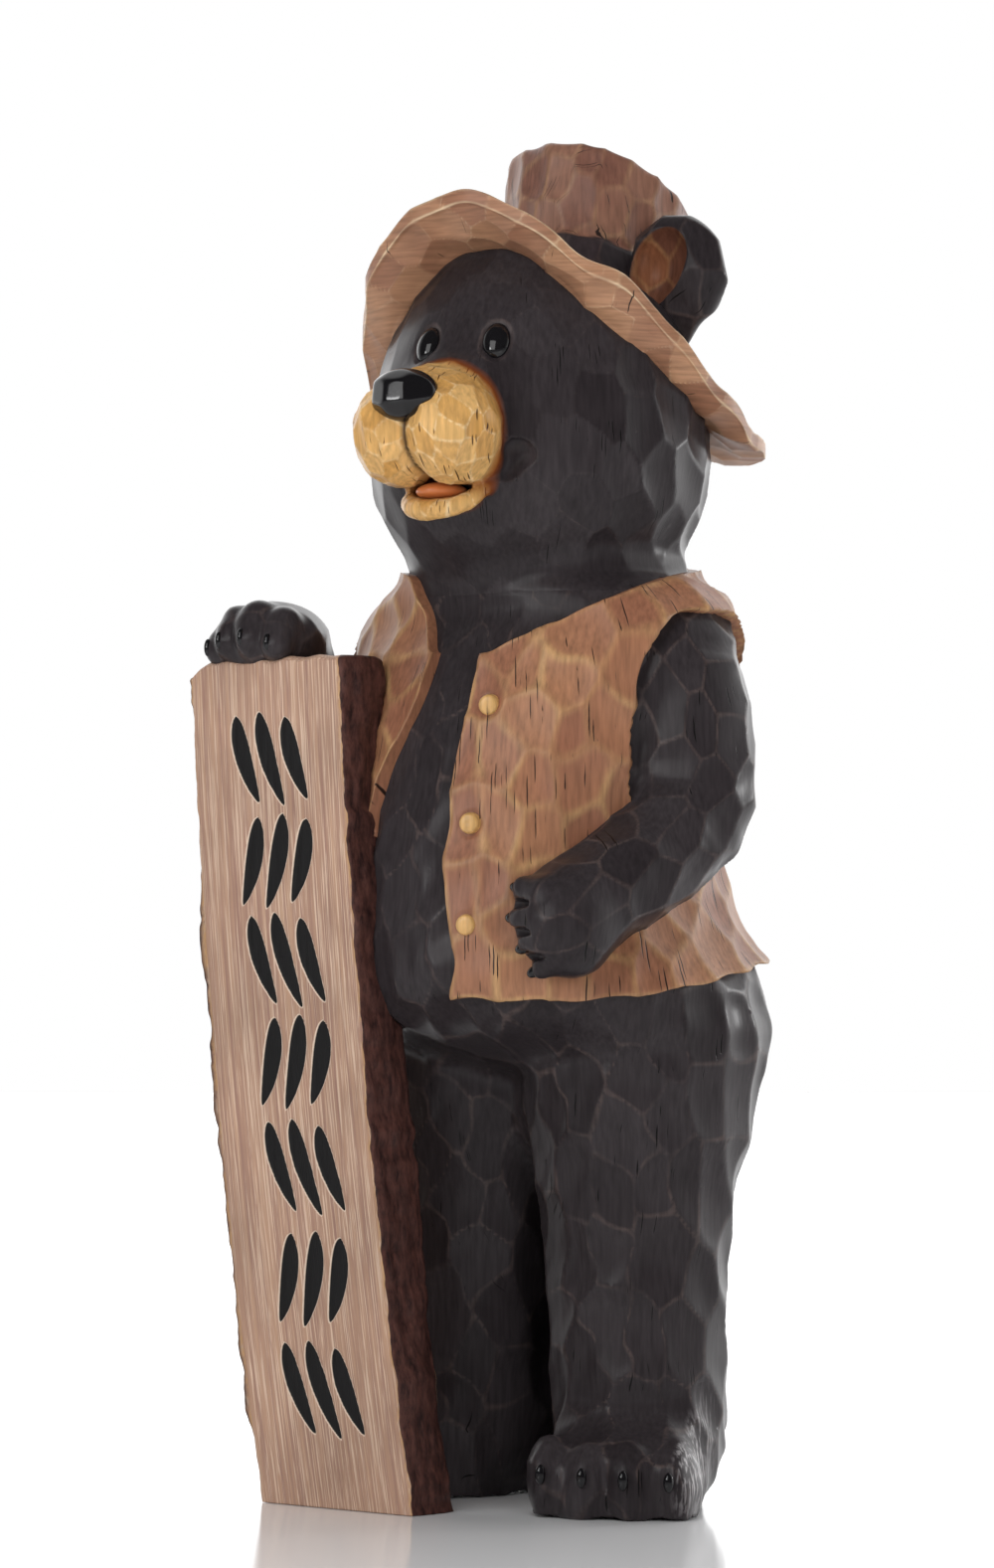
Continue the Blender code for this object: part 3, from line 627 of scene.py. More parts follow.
LIP = [(-0.0265, -0.0860, 0.5870, 0.0024), (-0.0240, -0.0970, 0.5765, 0.0042),
       (-0.0162, -0.1108, 0.5675, 0.0054), (0.0, -0.1175, 0.5645, 0.0060),
       (0.0162, -0.1108, 0.5670, 0.0054), (0.0240, -0.0970, 0.5765, 0.0042),
       (0.0270, -0.0860, 0.5870, 0.0024)]
MOUTH = (0, -0.0995, 0.5755), (0.0140, 0.0195, 0.0058)     # middle and radii
HEAD_CUT, HEAD_PRESS = (0.0130, 0.0175), 0.0019
SNOUT_CUT, SNOUT_PRESS = (0.0062, 0.0076), 0.0012


def on_neck(p):
    """Points of the head's own frame, turned and set on the neck."""
    return p @ HEAD_AXES + NECK


def skull_place(x, z):
    """The skull's surface in front at x and a height: the point, and its axes across, up, out."""
    r = np.array([SKULL_HALF_WIDTH, SKULL_HALF_WIDTH, SKULL_UP if z > SKULL_HEIGHT else SKULL_DOWN])
    dz = z - SKULL_HEIGHT
    y = -r[1] * math.sqrt(1 - (x / r[0]) ** 2 - (dz / r[2]) ** 2)
    out = unit(np.array([x, y, dz]) / r ** 2)
    up = unit(np.array([0, 0, 1]) - out * out[2])
    return np.array([x, y, z]), np.array([np.cross(up, out), up, out])


def pressed(p, x, z, rise, radii):
    """Distance to an ellipsoid that stands on the skull there, lifted by rise."""
    point, axes = skull_place(x, z)
    return ball((p - point) @ axes.T, np.array([0, 0, rise]), np.array(radii))


def socket_field(p, x, z):
    """The ring carved round an eye."""
    return pressed(p, x, z, SOCKET_RISE, SOCKET_RADII)


def muzzle_field(p):
    """Two lobes with a groove between, under one bridge."""
    lobes = blend(ball(p, (0.0158, -0.1145, 0.609), (0.0262, 0.0320, 0.0305)),
                  ball(p, (-0.0195, -0.1145, 0.609), (0.0262, 0.0320, 0.0310)), 0.0006)
    for x in (0.0205, -0.0225):
        lobes = blend(lobes, ball(p, (x, -0.101, 0.5935), (0.0140, 0.0190, 0.0125)), 0.006)
    return blend(lobes, ball(p, (-0.002, -0.094, 0.6275), (0.0315, 0.045, 0.0220)), 0.008)


def lip_field(p):
    """The lower lip: a round ledge bent to a smile, on a small chin."""
    ledge = tube(p, smooth_path(LIP, 15))
    return blend(ledge, ball(p, (0, -0.094, 0.5715), (0.0175, 0.0200, 0.0060)), 0.005)


def hollow_field(p, side):
    """The hollow at the end of the smile, which narrows down toward the corner of the mouth."""
    return blend(pressed(p, side * 0.0425, 0.5962, 0.0022, (0.0108, 0.0088, 0.0075)),
                 pressed(p, side * 0.0350, 0.5880, 0.0022, (0.0105, 0.0072, 0.0070)), 0.004)


def skull_field(p):
    """Distance to the skull: an ellipsoid, taller above its widest level than below."""
    radii = np.where(p[..., 2:] < SKULL_HEIGHT, (SKULL_HALF_WIDTH, SKULL_HALF_WIDTH, SKULL_DOWN),
                     (SKULL_HALF_WIDTH, SKULL_HALF_WIDTH, SKULL_UP))
    return ball(p, (0, 0, SKULL_HEIGHT), radii)


def face_field(p):
    """Skull, muzzle and lip, less the mouth and the hollow beside it."""
    face = skull_field(p)
    for side in (1, -1):
        face = without(face, hollow_field(p, side), 0.0008)
    for x, z in EYES:
        face = without(face, socket_field(p, x, z), 0.0010)
    soft = 0.004 + 0.016 * np.clip((p[..., 2] - 0.605) / 0.04, 0, 1)
    face = blend(face, muzzle_field(p), soft)
    face = blend(face, lip_field(p), 0.0045)
    return without(face, ball(p, *MOUTH), 0.002)


def over_hat_line(p):
    """How far points are above the slanting plane under the hat."""
    return (p[..., 2] - HAT_LINE + HAT_SLOPE * p[..., 1]) / math.hypot(1, HAT_SLOPE)


def round_the_hat(line, degrees):
    """Radius and height of a line round the hat, at angles from the front, from its table."""
    angles, r, z = np.array(line).T
    return through(degrees, angles, np.stack([r, z], -1))


def head_field(p):
    """The face, a raised brow along the brim's root, and the neck, which slips under the body."""
    turn = np.radians(np.linspace(-75, 75, 17))
    r, z = round_the_hat(BRIM_ROOT, np.degrees(abs(turn)))
    brow = np.stack([r * np.sin(turn), BRIM_CENTRE_Y - r * np.cos(turn), z - 0.0025,
                     np.full(17, 0.0042)], -1)
    whole = blend(face_field(p), tube(p, brow), 0.004)
    whole = np.maximum(whole, over_hat_line(p) - 0.004)
    neck = stack(on_neck(p), TRUNK) + 0.6 * np.maximum(0.520 - p[..., 2], 0)
    return blend(whole, np.maximum(neck, 0.497 - p[..., 2]), 0.010)


head, normals, quads = skin_of(head_field, (-0.118, -0.156, 0.493), (0.118, 0.104, 0.765), 0.0018)
x, y, z = head.T
near = np.minimum(muzzle_field(head), lip_field(head))
snout = np.clip(1 - (near - 0.0002) / 0.0050, 0, 1)
snout = snout * np.clip(0.30 + skull_field(head) / 0.022, 0, 1)
on_snout = np.flatnonzero(snout > 0)
way = upright(normals)
depth, ridge, cut = gouge(head, way, *HEAD_CUT, 7)
fine, fine_ridge, fine_cut = gouge(head[on_snout], way[on_snout], *SNOUT_CUT, 8)
side_on = np.clip((0.95 + normals[:, 1]) / 0.5, 0.22, 1)
cuttable = np.clip((z - 0.528) / 0.022, 0, 1) * np.clip(-over_hat_line(head) / 0.02, 0, 1)
press = HEAD_PRESS * side_on * cuttable * (1 - snout) * dish(depth)
calm = np.clip(0.35 + (lip_field(head) - muzzle_field(head)) / 0.004, 0.35, 1)
press[on_snout] += SNOUT_PRESS * (snout * calm)[on_snout] * dish(fine, 1.5, 1.0)
head = head + normals * press[:, None]
x, y, z = head.T
ridge = ridge + 0.0006
# The rims of the smile's hollows and of the eye rings get the lighter rubbed paint of a ridge: partly
# wear, partly a painted highlight along their edges.
rims = [hollow_field(head, side) for side in (1, -1)]
rims += [socket_field(head, *eye) for eye in EYES]
ridge = np.minimum(ridge, abs(np.array(rims) - 0.0006).min(0) + 0.0002)
mostly = snout[on_snout] > 0.5
ridge[on_snout[mostly]], cut[on_snout[mostly]] = fine_ridge[mostly], fine_cut[mostly]
# Painted shade: a dark line down the groove between the lobes, and along the mouth's edge under them,
# where shade falls in the cleft and the mouth.
groove = np.exp(-((x + 0.0018) / 0.0015) ** 2) * (y < -0.115) * (
    np.clip((0.619 - z) / 0.003, 0, 1) * np.clip((z - 0.574) / 0.003, 0, 1))
mouth_edge_shade = np.clip(1 - abs(ball(head, *MOUTH)) / 0.0012, 0, 1)
crease = np.maximum(groove, 0.5 * mouth_edge_shade * (y < -0.1))

# Fur paint that turns through a sprayed brown into ochre, rubbed pale along the snout's ridges.
skin, tree, shader = new_material("painted resin, dark fur with an ochre snout", 0.31, 0.16)
dark, dark_height = carved_paint(tree, *FUR_PAINT)
ochre, ochre_height = carved_paint(tree, ("#c69554", "#d6aa6c"), "#f4deb4", 0.58, 0.0009,
                                   "#4a2a12", 1.5, True, 0.10)
# Painted shade: dark brown #2a1409 in the groove between the lobes and under them at the mouth.
line = stored(tree, "crease")
ochre = mix(tree, line, ochre, "#2a1409")
zone = stored(tree, "snout")
brown = ramp(tree, zone, 0.15, 0.60)
golden = ramp(tree, zone, 0.50, 1.0)
tint = mix(tree, brown, dark, "#8a4517")
tint = mix(tree, golden, tint, ochre)
height = add(tree, "Mix", {0: golden, 2: dark_height, 3: ochre_height})
lay_paint(tree, shader, tint, height, 0.35)
piece("head", on_neck(head), quads, skin, "bear_fur",
      ridge=ridge, cut=cut, snout=snout, crease=crease)

# Nose, eyes, and the claws on every finger and toe: drops of black enamel set into the casting.
# The nose is ground in flats.
NOSE, NOSE_RADII = np.array([-0.0022, -0.1380, 0.6275]), (0.0214, 0.0165, 0.0150)
FLATS = [  # directions of the nose's flats, and how far each lies from its middle
    ((-0.86, -0.50, 0.10), 0.0181), ((-0.45, -0.89, 0.06), 0.0153), ((0.10, -0.99, 0.04), 0.0150),
    ((0.66, -0.75, 0.06), 0.0163), ((-0.50, -0.62, -0.60), 0.0162), ((0.10, -0.75, -0.66), 0.0150),
    ((0.62, -0.55, -0.58), 0.0165), ((0.05, -0.62, 0.78), 0.0146),
]
FLAT_SOFT = 0.00035
EYE_RADII, EYE_SUNK = (0.0083, 0.0113, 0.0058), 0.0022
BELLY_CLAW, PLANK_CLAW = (0.0034, 0.0032, 0.0056), (0.0024, 0.0024, 0.0052)
TOE_CLAW, TOE_CLAW_HEIGHT = (0.0030, 0.0026, 0.0056), 0.0246


def dome(radii, rows=18, columns=28):
    """An ellipsoid as rings from pole to pole: r (cos a sin b, cos a cos b, sin a)."""
    a = np.linspace(-math.pi / 2, math.pi / 2, rows)[:, None]
    b = np.linspace(0, 2 * math.pi, columns, endpoint=False)
    return np.stack([np.cos(a) * np.sin(b), np.cos(a) * np.cos(b), np.sin(a) + 0 * b], -1) * radii


def grid_quads(rows, columns, rows_close=False, columns_close=True):
    """Quads between neighbouring rows of a grid, which may close on itself in either direction."""
    i, j = np.meshgrid(np.arange(rows - (not rows_close)), np.arange(columns - (not columns_close)),
                       indexing="ij")
    k, m = (i + 1) % rows, (j + 1) % columns
    return np.stack([i * columns + j, i * columns + m, k * columns + m, k * columns + j],
                    -1).reshape(-1, 4)


def facing_out(points, quads):
    """The quads, turned round if the closed form they make would be inside out."""
    a, b, c, d = (points[quads[:, i]] for i in range(4))
    volume = (np.cross(b - a, c - a) * a).sum() + (np.cross(c - a, d - a) * a).sum()
    return quads if volume > 0 else quads[:, ::-1]


def gather(forms):
    """Several ringed forms as one set of points and quads."""
    points, quads, count = [], [], 0
    for form in forms:
        flat = form.reshape(-1, 3)
        points.append(flat)
        quads.append(facing_out(flat, grid_quads(*form.shape[:2])) + count)
        count += len(flat)
    return np.concatenate(points), np.concatenate(quads)


# Polished enamel: near black, with a small sharp highlight on each.
enamel, tree, shader = new_material("black enamel, polished", 0.09, 0.42)
shader.inputs["Base Color"].default_value = colour("#141315")

eyes = []
for x, z in EYES:
    point, axes = skull_place(x, z)
    eyes.append(point - axes[2] * EYE_SUNK + dome(EYE_RADII, 24, 40) @ axes)
points, quads = gather(eyes)
piece("eyes", on_neck(points), quads, enamel, "black_gloss")

# The nose: along each ray, the soft minimum of the ellipsoid's reach and the flats' reaches.
way = dome((1.0, 1.0, 1.0), 72, 120)
reach = [1 / np.linalg.norm(way / NOSE_RADII, axis=-1)]
for normal, far in FLATS:
    toward = way @ unit(np.array(normal))
    reach.append(np.where(toward > 0.05, far / np.maximum(toward, 0.05), 1.0))
reach = -FLAT_SOFT * np.log(np.exp(-np.array(reach) / FLAT_SOFT).sum(0))
nose = way * reach[..., None]
nose[..., 0] *= 1 - 0.04 * np.clip(-nose[..., 2] / 0.014, 0, 1) ** 1.5
points, quads = gather([NOSE + nose])
piece("nose", on_neck(points), quads, enamel, "black_gloss")

claws = []
for knuckle, tip in FINGERS["left"]:
    run = unit(np.array(tip[:3]) - knuckle[:3])
    across = unit(np.cross(run, (0, -1, 0.2)))
    axes = np.array([across, np.cross(run, across), run])
    claws.append(tip[:3] + run * 0.0046 + (0, -0.001, 0) + dome(BELLY_CLAW, 12, 16) @ axes)
for _, tip in FINGERS["right"]:
    out = unit(np.array([-0.5 if tip[0] < -0.145 else -0.15, -1.0, 0.0]))
    axes = np.array([np.cross((0, 0, 1), out), out, (0, 0, 1)])
    claws.append(np.array(tip[:3]) + out * (tip[3] - 0.0018) + (0, 0, 0.001)
                 + dome(PLANK_CLAW, 12, 16) @ axes)
c, s = math.cos(FOOT_TURN), math.sin(FOOT_TURN)
for side in (1, -1):
    for number, (u, v, _) in enumerate(TOES):
        back = v - TOE_RADII[1] + 0.0002
        x, y = u * c - back * s + FOOT_FRONT[0], u * s + back * c + FOOT_FRONT[1]
        axes = np.array([(c, s, 0), (-s, c, 0), (0, 0, 1)]) * [side, 1, 1]
        claws.append(np.array([x * side, y, TOE_CLAW_HEIGHT - 0.0009 * number])
                     + dome(TOE_CLAW, 12, 16) @ axes)
points, quads = gather(claws)
piece("claws", points, quads, enamel, "black_gloss")

# Tongue: a small pad between the lip and the lobes, cast with the head and painted orange-red.
# Satin paint, so it keeps a broad soft highlight.
TONGUE, TONGUE_RADII = (-0.0008, -0.1018, 0.5757), (0.0142, 0.0165, 0.0056)
red, tree, shader = new_material("painted resin, orange-red tongue", 0.35)
shader.inputs["Base Color"].default_value = colour("#c0703f")
points, quads = gather([dome(TONGUE_RADII, 20, 36) + TONGUE])
piece("tongue", on_neck(points), quads, red, "ochre_snout")

# Ears, cast with the head: a thick dark rim, flat-cut like the fur, round a cup that is brushed
# orange-brown and runs out at its inner lower side, where the ear stands on the brim.
EAR, EAR_LEAN = np.array([0.077, 0.026, 0.709]), math.radians(32)
EAR_CUT, EAR_PRESS = (0.0095, 0.0125), 0.0016


def leaning(p, centre):
    """Points in the ear's own axes, which lean outward with the cup's long side."""
    c, s = math.cos(EAR_LEAN), math.sin(EAR_LEAN)
    q = p - centre
    return np.stack([q[..., 0] * c - q[..., 2] * s, q[..., 1], q[..., 0] * s + q[..., 2] * c], -1)


def cup_field(p):
    """Distance to the leaning ellipsoid that hollows the ear."""
    return ball(leaning(p, EAR + (-0.0055, -0.0165, 0.0030)), 0, (0.0180, 0.0150, 0.0250))


def ear_field(p):
    """A thick disc with a rounded edge, less the cup, on a foot."""
    disc = ball(p, EAR, (0.0325, 0.0185, 0.0350))
    foot = ball(p, EAR + (-0.010, 0.000, -0.030), (0.022, 0.015, 0.018))
    return without(blend(disc, foot, 0.008), cup_field(p), 0.0025)


def two_paints(name, roughness, gloss, bump, zone, start, end, first, second):
    """A material that turns from one carved paint to another as a stored value rises."""
    made, tree, shader = new_material(name, roughness, gloss)
    (tint_a, height_a), (tint_b, height_b) = (carved_paint(tree, *paint) for paint in (first, second))
    zone = stored(tree, zone)
    share = ramp(tree, zone, start, end)
    tint = mix(tree, share, tint_a, tint_b)
    height = add(tree, "Mix", {0: share, 2: height_a, 3: height_b})
    lay_paint(tree, shader, tint, height, bump)
    return made


# Fur paint outside, and a warm brown in the cup that shows the brush.
CUP_PAINT = (("#85523a", "#ad6a40"), "#cf965e", 0.9, 0.0014, "#2c1710", 0.5)
ear_paint = two_paints("painted resin, dark ear with a brown cup", 0.31, 0.16, 0.4,
                       "cup", 0.15, 0.85, FUR_PAINT, CUP_PAINT)
ear, normals, quads = skin_of(ear_field, EAR - (0.042, 0.028, 0.052), EAR + (0.042, 0.026, 0.042),
                              0.0014)
cup = np.clip(0.5 - cup_field(ear) / 0.0022, 0, 1)
depth, ridge, cut = gouge(ear, upright(normals), *EAR_CUT, 9)
ear = ear + normals * (EAR_PRESS * (1 - 0.8 * cup) * dish(depth, level=1.0))[:, None]
for side, name in ((1, "ear_left"), (-1, "ear_right")):
    piece(name, on_neck(ear * (side, 1, 1)), quads[:, ::side], ear_paint, "bear_fur",
          ridge=ridge, cut=cut, cup=cup)

# Waistcoat: a shell that stands proud of the trunk and covers the shoulders, open in front and
# round each arm. Satin paint, reddish brown in the cuts and rubbed ochre along the ridges.
FRONT_LEFT = [(0.2896, 13.5), (0.309, 16.0), (0.324, 15.0), (0.338, 13.4), (0.356, 12.2),
              (0.371, 11.6), (0.387, 12.7), (0.402, 12.0), (0.418, 12.1), (0.436, 13.0),
              (0.450, 14.2), (0.470, 14.6), (0.490, 15.5)]          # (height, turn) of the edge
FRONT_RIGHT = [(0.2896, 24.0), (0.330, 24.0), (0.400, 23.5), (0.424, 20.0), (0.439, 15.5),
               (0.452, 12.4), (0.463, 10.6), (0.483, 9.0), (0.500, 9.2)]
NECKLINE = [(15.0, 0.4843), (27, 0.4923), (36, 0.4976), (45, 0.5036), (52, 0.5100), (59, 0.5155),
            (67, 0.5215), (80, 0.5277), (95, 0.532), (120, 0.537), (180, 0.545), (256, 0.541),
            (280, 0.538), (315, 0.536), (329, 0.530), (336, 0.518), (342, 0.503), (351, 0.487)]
HEM = [(13, 0.2900), (50, 0.2895), (67, 0.2934), (81, 0.2983), (96, 0.3040), (112, 0.3090),
       (140, 0.311), (220, 0.311), (248, 0.309), (264, 0.304), (279, 0.298), (293, 0.2934),
       (310, 0.2895), (347, 0.2900)]
CLOTH_PROUD, CLOTH_BURIED = 0.007, 0.010
SHOULDERS = (0.094, -0.006, 0.494, 0.0275), (0.101, -0.012, 0.472, 0.0275)
ARMHOLE = (88.5, 0.447, 19.8, 0.0605)      # (turn, height, half width in degrees, half height)
COLUMNS, ROWS = 400, 136
EDGE_STEPS, EDGE_LIFT = (0, 0.5, 0.88, 0.97), (0, 0.5, 0.86, 0.96)    # rounded edges
VEST_CUT, VEST_PRESS, HEM_FLARE = (0.0140, 0.0175), 0.0019, 0.0050
BUTTONS = [(22.5, 0.455), (19.5, 0.388), (19.5, 0.331)]    # (turn, height)
BUTTON_MOAT = (0.0066, 0.0011, 0.0009)     # radius, width and depth of the dip round a button


def on_trunk(turn, z, out):
    """Points round the trunk's axis at angles and heights, out from trunk and shoulders by a
    distance: from outside, each slides inward along its level ray until it is that far off."""
    _, y, a, b = through(z, np.array(TRUNK)[:, 0], np.array(TRUNK)[:, 1:])
    r = (abs(np.sin(turn) / a) ** ROUNDNESS + abs(np.cos(turn) / b) ** ROUNDNESS) ** (-1 / ROUNDNESS)
    r = r + out
    for _ in range(5):
        p = np.stack([r * np.sin(turn), y - r * np.cos(turn), z], -1)
        trunk = stack(p, TRUNK)
        covered = np.minimum(blend(trunk, tube(p, SHOULDERS), 0.014),
                             blend(trunk, tube(p * (-1, 1, 1), SHOULDERS), 0.014))
        r = r + np.clip(out - covered, -0.01, 0.01)
    return np.stack([r * np.sin(turn), y - r * np.cos(turn), z], -1)


def from_front(turn):
    """Degrees from the front, counted the same way to both sides."""
    return np.degrees(np.minimum(turn, 2 * math.pi - turn))


def smooth(t):
    """An ease from 0 to 1: t t (3 - 2 t)."""
    return t * t * (3 - 2 * t)


def in_armhole(turn, z):
    """How far inside an armhole, a superellipse: 0 on its edge, 1 in the middle, less outside."""
    far = (abs((from_front(turn) - ARMHOLE[0]) / ARMHOLE[2]) ** 3.4
           + abs((z - ARMHOLE[1]) / ARMHOLE[3]) ** 3.4) ** (1 / 3.4)
    return 1 - far


def waistcoat_sheet():
    """Points (loops of rows, columns). A loop runs up the outside from the hem to the neckline
    and down the inside; the loops at the two front edges shrink to a line."""
    across = np.concatenate([np.zeros(4), np.linspace(0, 1, COLUMNS - 8), np.ones(4)])
    edge = np.concatenate([EDGE_STEPS, np.ones(COLUMNS - 8), EDGE_STEPS[::-1]])
    up = np.concatenate([np.zeros(4), np.linspace(0, 1, ROWS), np.ones(4), np.linspace(1, 0, 7)[1:-1]])
    lift = np.concatenate([EDGE_LIFT, np.ones(ROWS), EDGE_LIFT[::-1], np.zeros(5)])
    turn = np.radians(14 + 335 * across)
    turn, up = np.broadcast_arrays(turn, up[:, None])
    for _ in range(4):
        degrees = np.degrees(turn)
        hem = through(degrees, *np.array(HEM).T)[0]
        top = through(degrees, *np.array(NECKLINE).T)[0]
        z = hem + (top - hem) * up
        start = through(z, *np.array(FRONT_LEFT).T)[0]
        stop = 360 - through(z, *np.array(FRONT_RIGHT).T)[0]
        turn = np.radians(start + (stop - start) * across)
    return turn, z, hem, np.minimum(lift[:, None], edge), up


def normals_of(points, quads):
    """Each point's normal: the sum of the crossed diagonals of its quads."""
    a, b, c, d = (points[quads[:, i]] for i in range(4))
    cross = np.cross(c - a, d - b)
    total = np.stack([sum(np.bincount(quads[:, i], cross[:, axis], len(points)) for i in range(4))
                      for axis in range(3)], -1)
    return unit(total)


turn, z, hem, lift, up = waistcoat_sheet()
degrees = from_front(turn)
back = np.clip((degrees - 50) / 80, 0, 1)
flare = HEM_FLARE * (0.6 + 0.4 * smooth(back)) * np.clip(1 - (z - hem) / 0.045, 0, 1) ** 2
hole = smooth(np.clip(in_armhole(turn, z) / 0.07 + 0.5, 0, 1))
proud = (CLOTH_PROUD + flare) * (1 - hole) - 0.010 * hole
wave = 0.0008 * np.sin(degrees * 0.35 + 1) * np.clip(1 - (z - hem) / 0.02, 0, 1)
sheet = on_trunk(turn, z + wave, -CLOTH_BURIED + (proud + CLOTH_BURIED) * lift)
columns = sheet.shape[1]
vest = sheet.reshape(-1, 3)
quads = facing_out(vest, grid_quads(*sheet.shape[:2], rows_close=True, columns_close=False))
normals = normals_of(vest, quads)
outside = hole.ravel() < 0.5
show = (lift.ravel() > 0.99) & outside
shown = np.flatnonzero(show)
depth, cut = np.zeros(len(vest)), np.full(len(vest), 0.3)
ridge = np.where((lift.ravel() > 0.9) & outside, 0.0010, 0.01)
depth[shown], ridge[shown], cut[shown] = gouge(vest[shown], upright(normals)[shown], *VEST_CUT, 21)
# How far each point is from an edge of the cloth, in metres: the edges are rubbed pale as well.
column = np.arange(columns)
from_front_edge = np.clip(np.minimum(column, columns - 1 - column) - 4, 0, None) * 0.0016
from_hem = np.minimum(up, 1 - up) * 0.235
from_armhole = abs(in_armhole(turn, z)) * 0.036
brink = np.minimum(from_hem, np.minimum(from_front_edge, from_armhole)).ravel()
ridge[shown] = np.minimum(ridge, 0.0004 + 0.9 * brink)[shown]
press = np.where(show, VEST_PRESS * dish(depth, 1.5, 0.95), 0)
for angle, height in BUTTONS:
    middle = on_trunk(np.radians([angle]), np.array([height]), CLOTH_PROUD)[0]
    far = np.linalg.norm(vest - middle, axis=-1)
    press -= BUTTON_MOAT[2] * np.exp(-((far - BUTTON_MOAT[0]) / BUTTON_MOAT[1]) ** 2)
vest = vest + normals * press[:, None]

# Satin paint, a little duller than the fur's, rubbed through to ochre in a wide soft line.
CLOTH_PAINT = (("#8f6049", "#9f7052"), "#c09a69", 0.68, 0.0036, "#26150e", 1.3)
cloth = carved_resin("painted resin, tan cloth", 0.42, 0.35, 0.55, *CLOTH_PAINT)
piece("waistcoat", off_the_plank(vest), quads, cloth, "tan_cloth", ridge=ridge, cut=cut)

# Buttons: small domed discs, cast with the waistcoat and sunk a little in it, painted a glossier
# ochre with dark splits.
BUTTON_PROFILE = [(0.0, 0.0028), (0.0022, 0.0029), (0.0042, 0.0026), (0.0051, 0.0021),
                  (0.0057, 0.0011), (0.0059, -0.0004), (0.0059, -0.0030), (0.0, -0.0030)]
BUTTON_PAINT = (("#c79a5e", "#d6aa6c"), "#ecca92", 0.3, 0.0005, "#3a2413", 1.2)
profile = through(np.linspace(0, 7, 29), np.arange(8), np.array(BUTTON_PROFILE)).T
around = np.linspace(0, 2 * math.pi, 40, endpoint=False)[:, None]
discs = []
for angle, height in BUTTONS:
    out = np.array([math.sin(math.radians(angle)), -math.cos(math.radians(angle)), 0.0])
    ring = np.cos(around) * np.cross((0, 0, 1), out) + np.sin(around) * (0, 0, 1)
    middle = on_trunk(np.radians([angle]), np.array([height]), CLOTH_PROUD)[0]
    discs.append(np.array([middle + ring * r + out * h for r, h in profile]))
points, quads = gather(discs)
horn = carved_resin("painted resin, ochre button", 0.36, 0.5, 0.5, *BUTTON_PAINT)
piece("buttons", points, quads, horn, "tan_cloth", ridge=np.full(len(points), 0.01),
      cut=np.full(len(points), 0.5))

# Hat, cast on the head: a brim turned up all round, in the waistcoat's paint but browner and rubbed
# nearly white along its edge. Its cuts and streaks run around and outward.
BRIM_EDGE = [  # angle from the front, radius, height
    (0, 0.120, 0.748), (27, 0.121, 0.727), (36, 0.121, 0.711), (53, 0.119, 0.691),
    (66, 0.119, 0.667), (81, 0.117, 0.640), (101, 0.117, 0.620), (125, 0.118, 0.614),
    (180, 0.122, 0.624)]
BRIM_THICK, BRIM_SAG, BRIM_CUT, BRIM_PRESS = 0.0086, 0.020, (0.0150, 0.0135), 0.0020
BRIM_UNDER, BRIM_ROUND, BRIM_OVER = 34, 5, 26              # loops under, round the edge and over


def brim_sheet(columns=440):
    """Closed loops across the brim: out along the underside, round a squarish edge, and back."""
    out = np.concatenate([np.linspace(0, 0.988, BRIM_UNDER), (0.998, 1.0, 1.0, 1.0, 0.998),
                          np.linspace(0.988, 0, BRIM_OVER)])[:, None]
    over = np.concatenate([np.zeros(BRIM_UNDER), (0.04, 0.18, 0.5, 0.82, 0.96),
                           np.ones(BRIM_OVER)])[:, None]
    turn = np.linspace(0, 2 * math.pi, columns, endpoint=False)
    r0, z0 = round_the_hat(BRIM_ROOT, from_front(turn))
    r1, z1 = round_the_hat(BRIM_EDGE, from_front(turn))
    wave = 0.0010 * np.sin(turn * 9 + 0.6) + 0.0007 * np.sin(turn * 17)
    r = r0 + (r1 - r0) * out + wave * out
    z = z0 + (z1 - BRIM_THICK - z0) * out + over * BRIM_THICK - BRIM_SAG * out * (1 - out)
    z = z + wave * out
    return np.stack([r * np.sin(turn), BRIM_CENTRE_Y - r * np.cos(turn), z], -1), out + 0 * r


sheet, out = brim_sheet()
brim = sheet.reshape(-1, 3)
quads = facing_out(brim, grid_quads(*sheet.shape[:2], rows_close=True))
normals = normals_of(brim, quads)
outward = laid_in(unit(brim - (0, BRIM_CENTRE_Y, 0.60)), normals)
depth, ridge, cut = gouge(brim, outward, *BRIM_CUT, 31)
rim = np.clip((out.ravel() - 0.97) / 0.02, 0, 1)
root = np.clip(out.ravel() / 0.25, 0, 1)
brim = brim + normals * (BRIM_PRESS * (1 - 0.6 * rim) * root * dish(depth, 1.5, 0.95))[:, None]
run = np.cumsum(np.append(0, np.linalg.norm(np.diff(sheet, axis=0), axis=-1).mean(1)))
corners = run[[BRIM_UNDER, BRIM_UNDER + BRIM_ROUND - 1]]
to_corner = np.repeat(abs(run[:, None] - corners).min(-1), sheet.shape[1])
HAT_PAINT = (("#92674f", "#ae8364"), "#ead4b0", 0.85, 0.0020, "#2c1912", 0.3, False)
felt = carved_resin("painted resin, tan hat", 0.42, 0.35, 0.5, *HAT_PAINT)
piece("brim", on_neck(brim), quads, felt, "tan_cloth",
      ridge=np.minimum(ridge + 0.0011, to_corner + 0.0004), cut=cut)

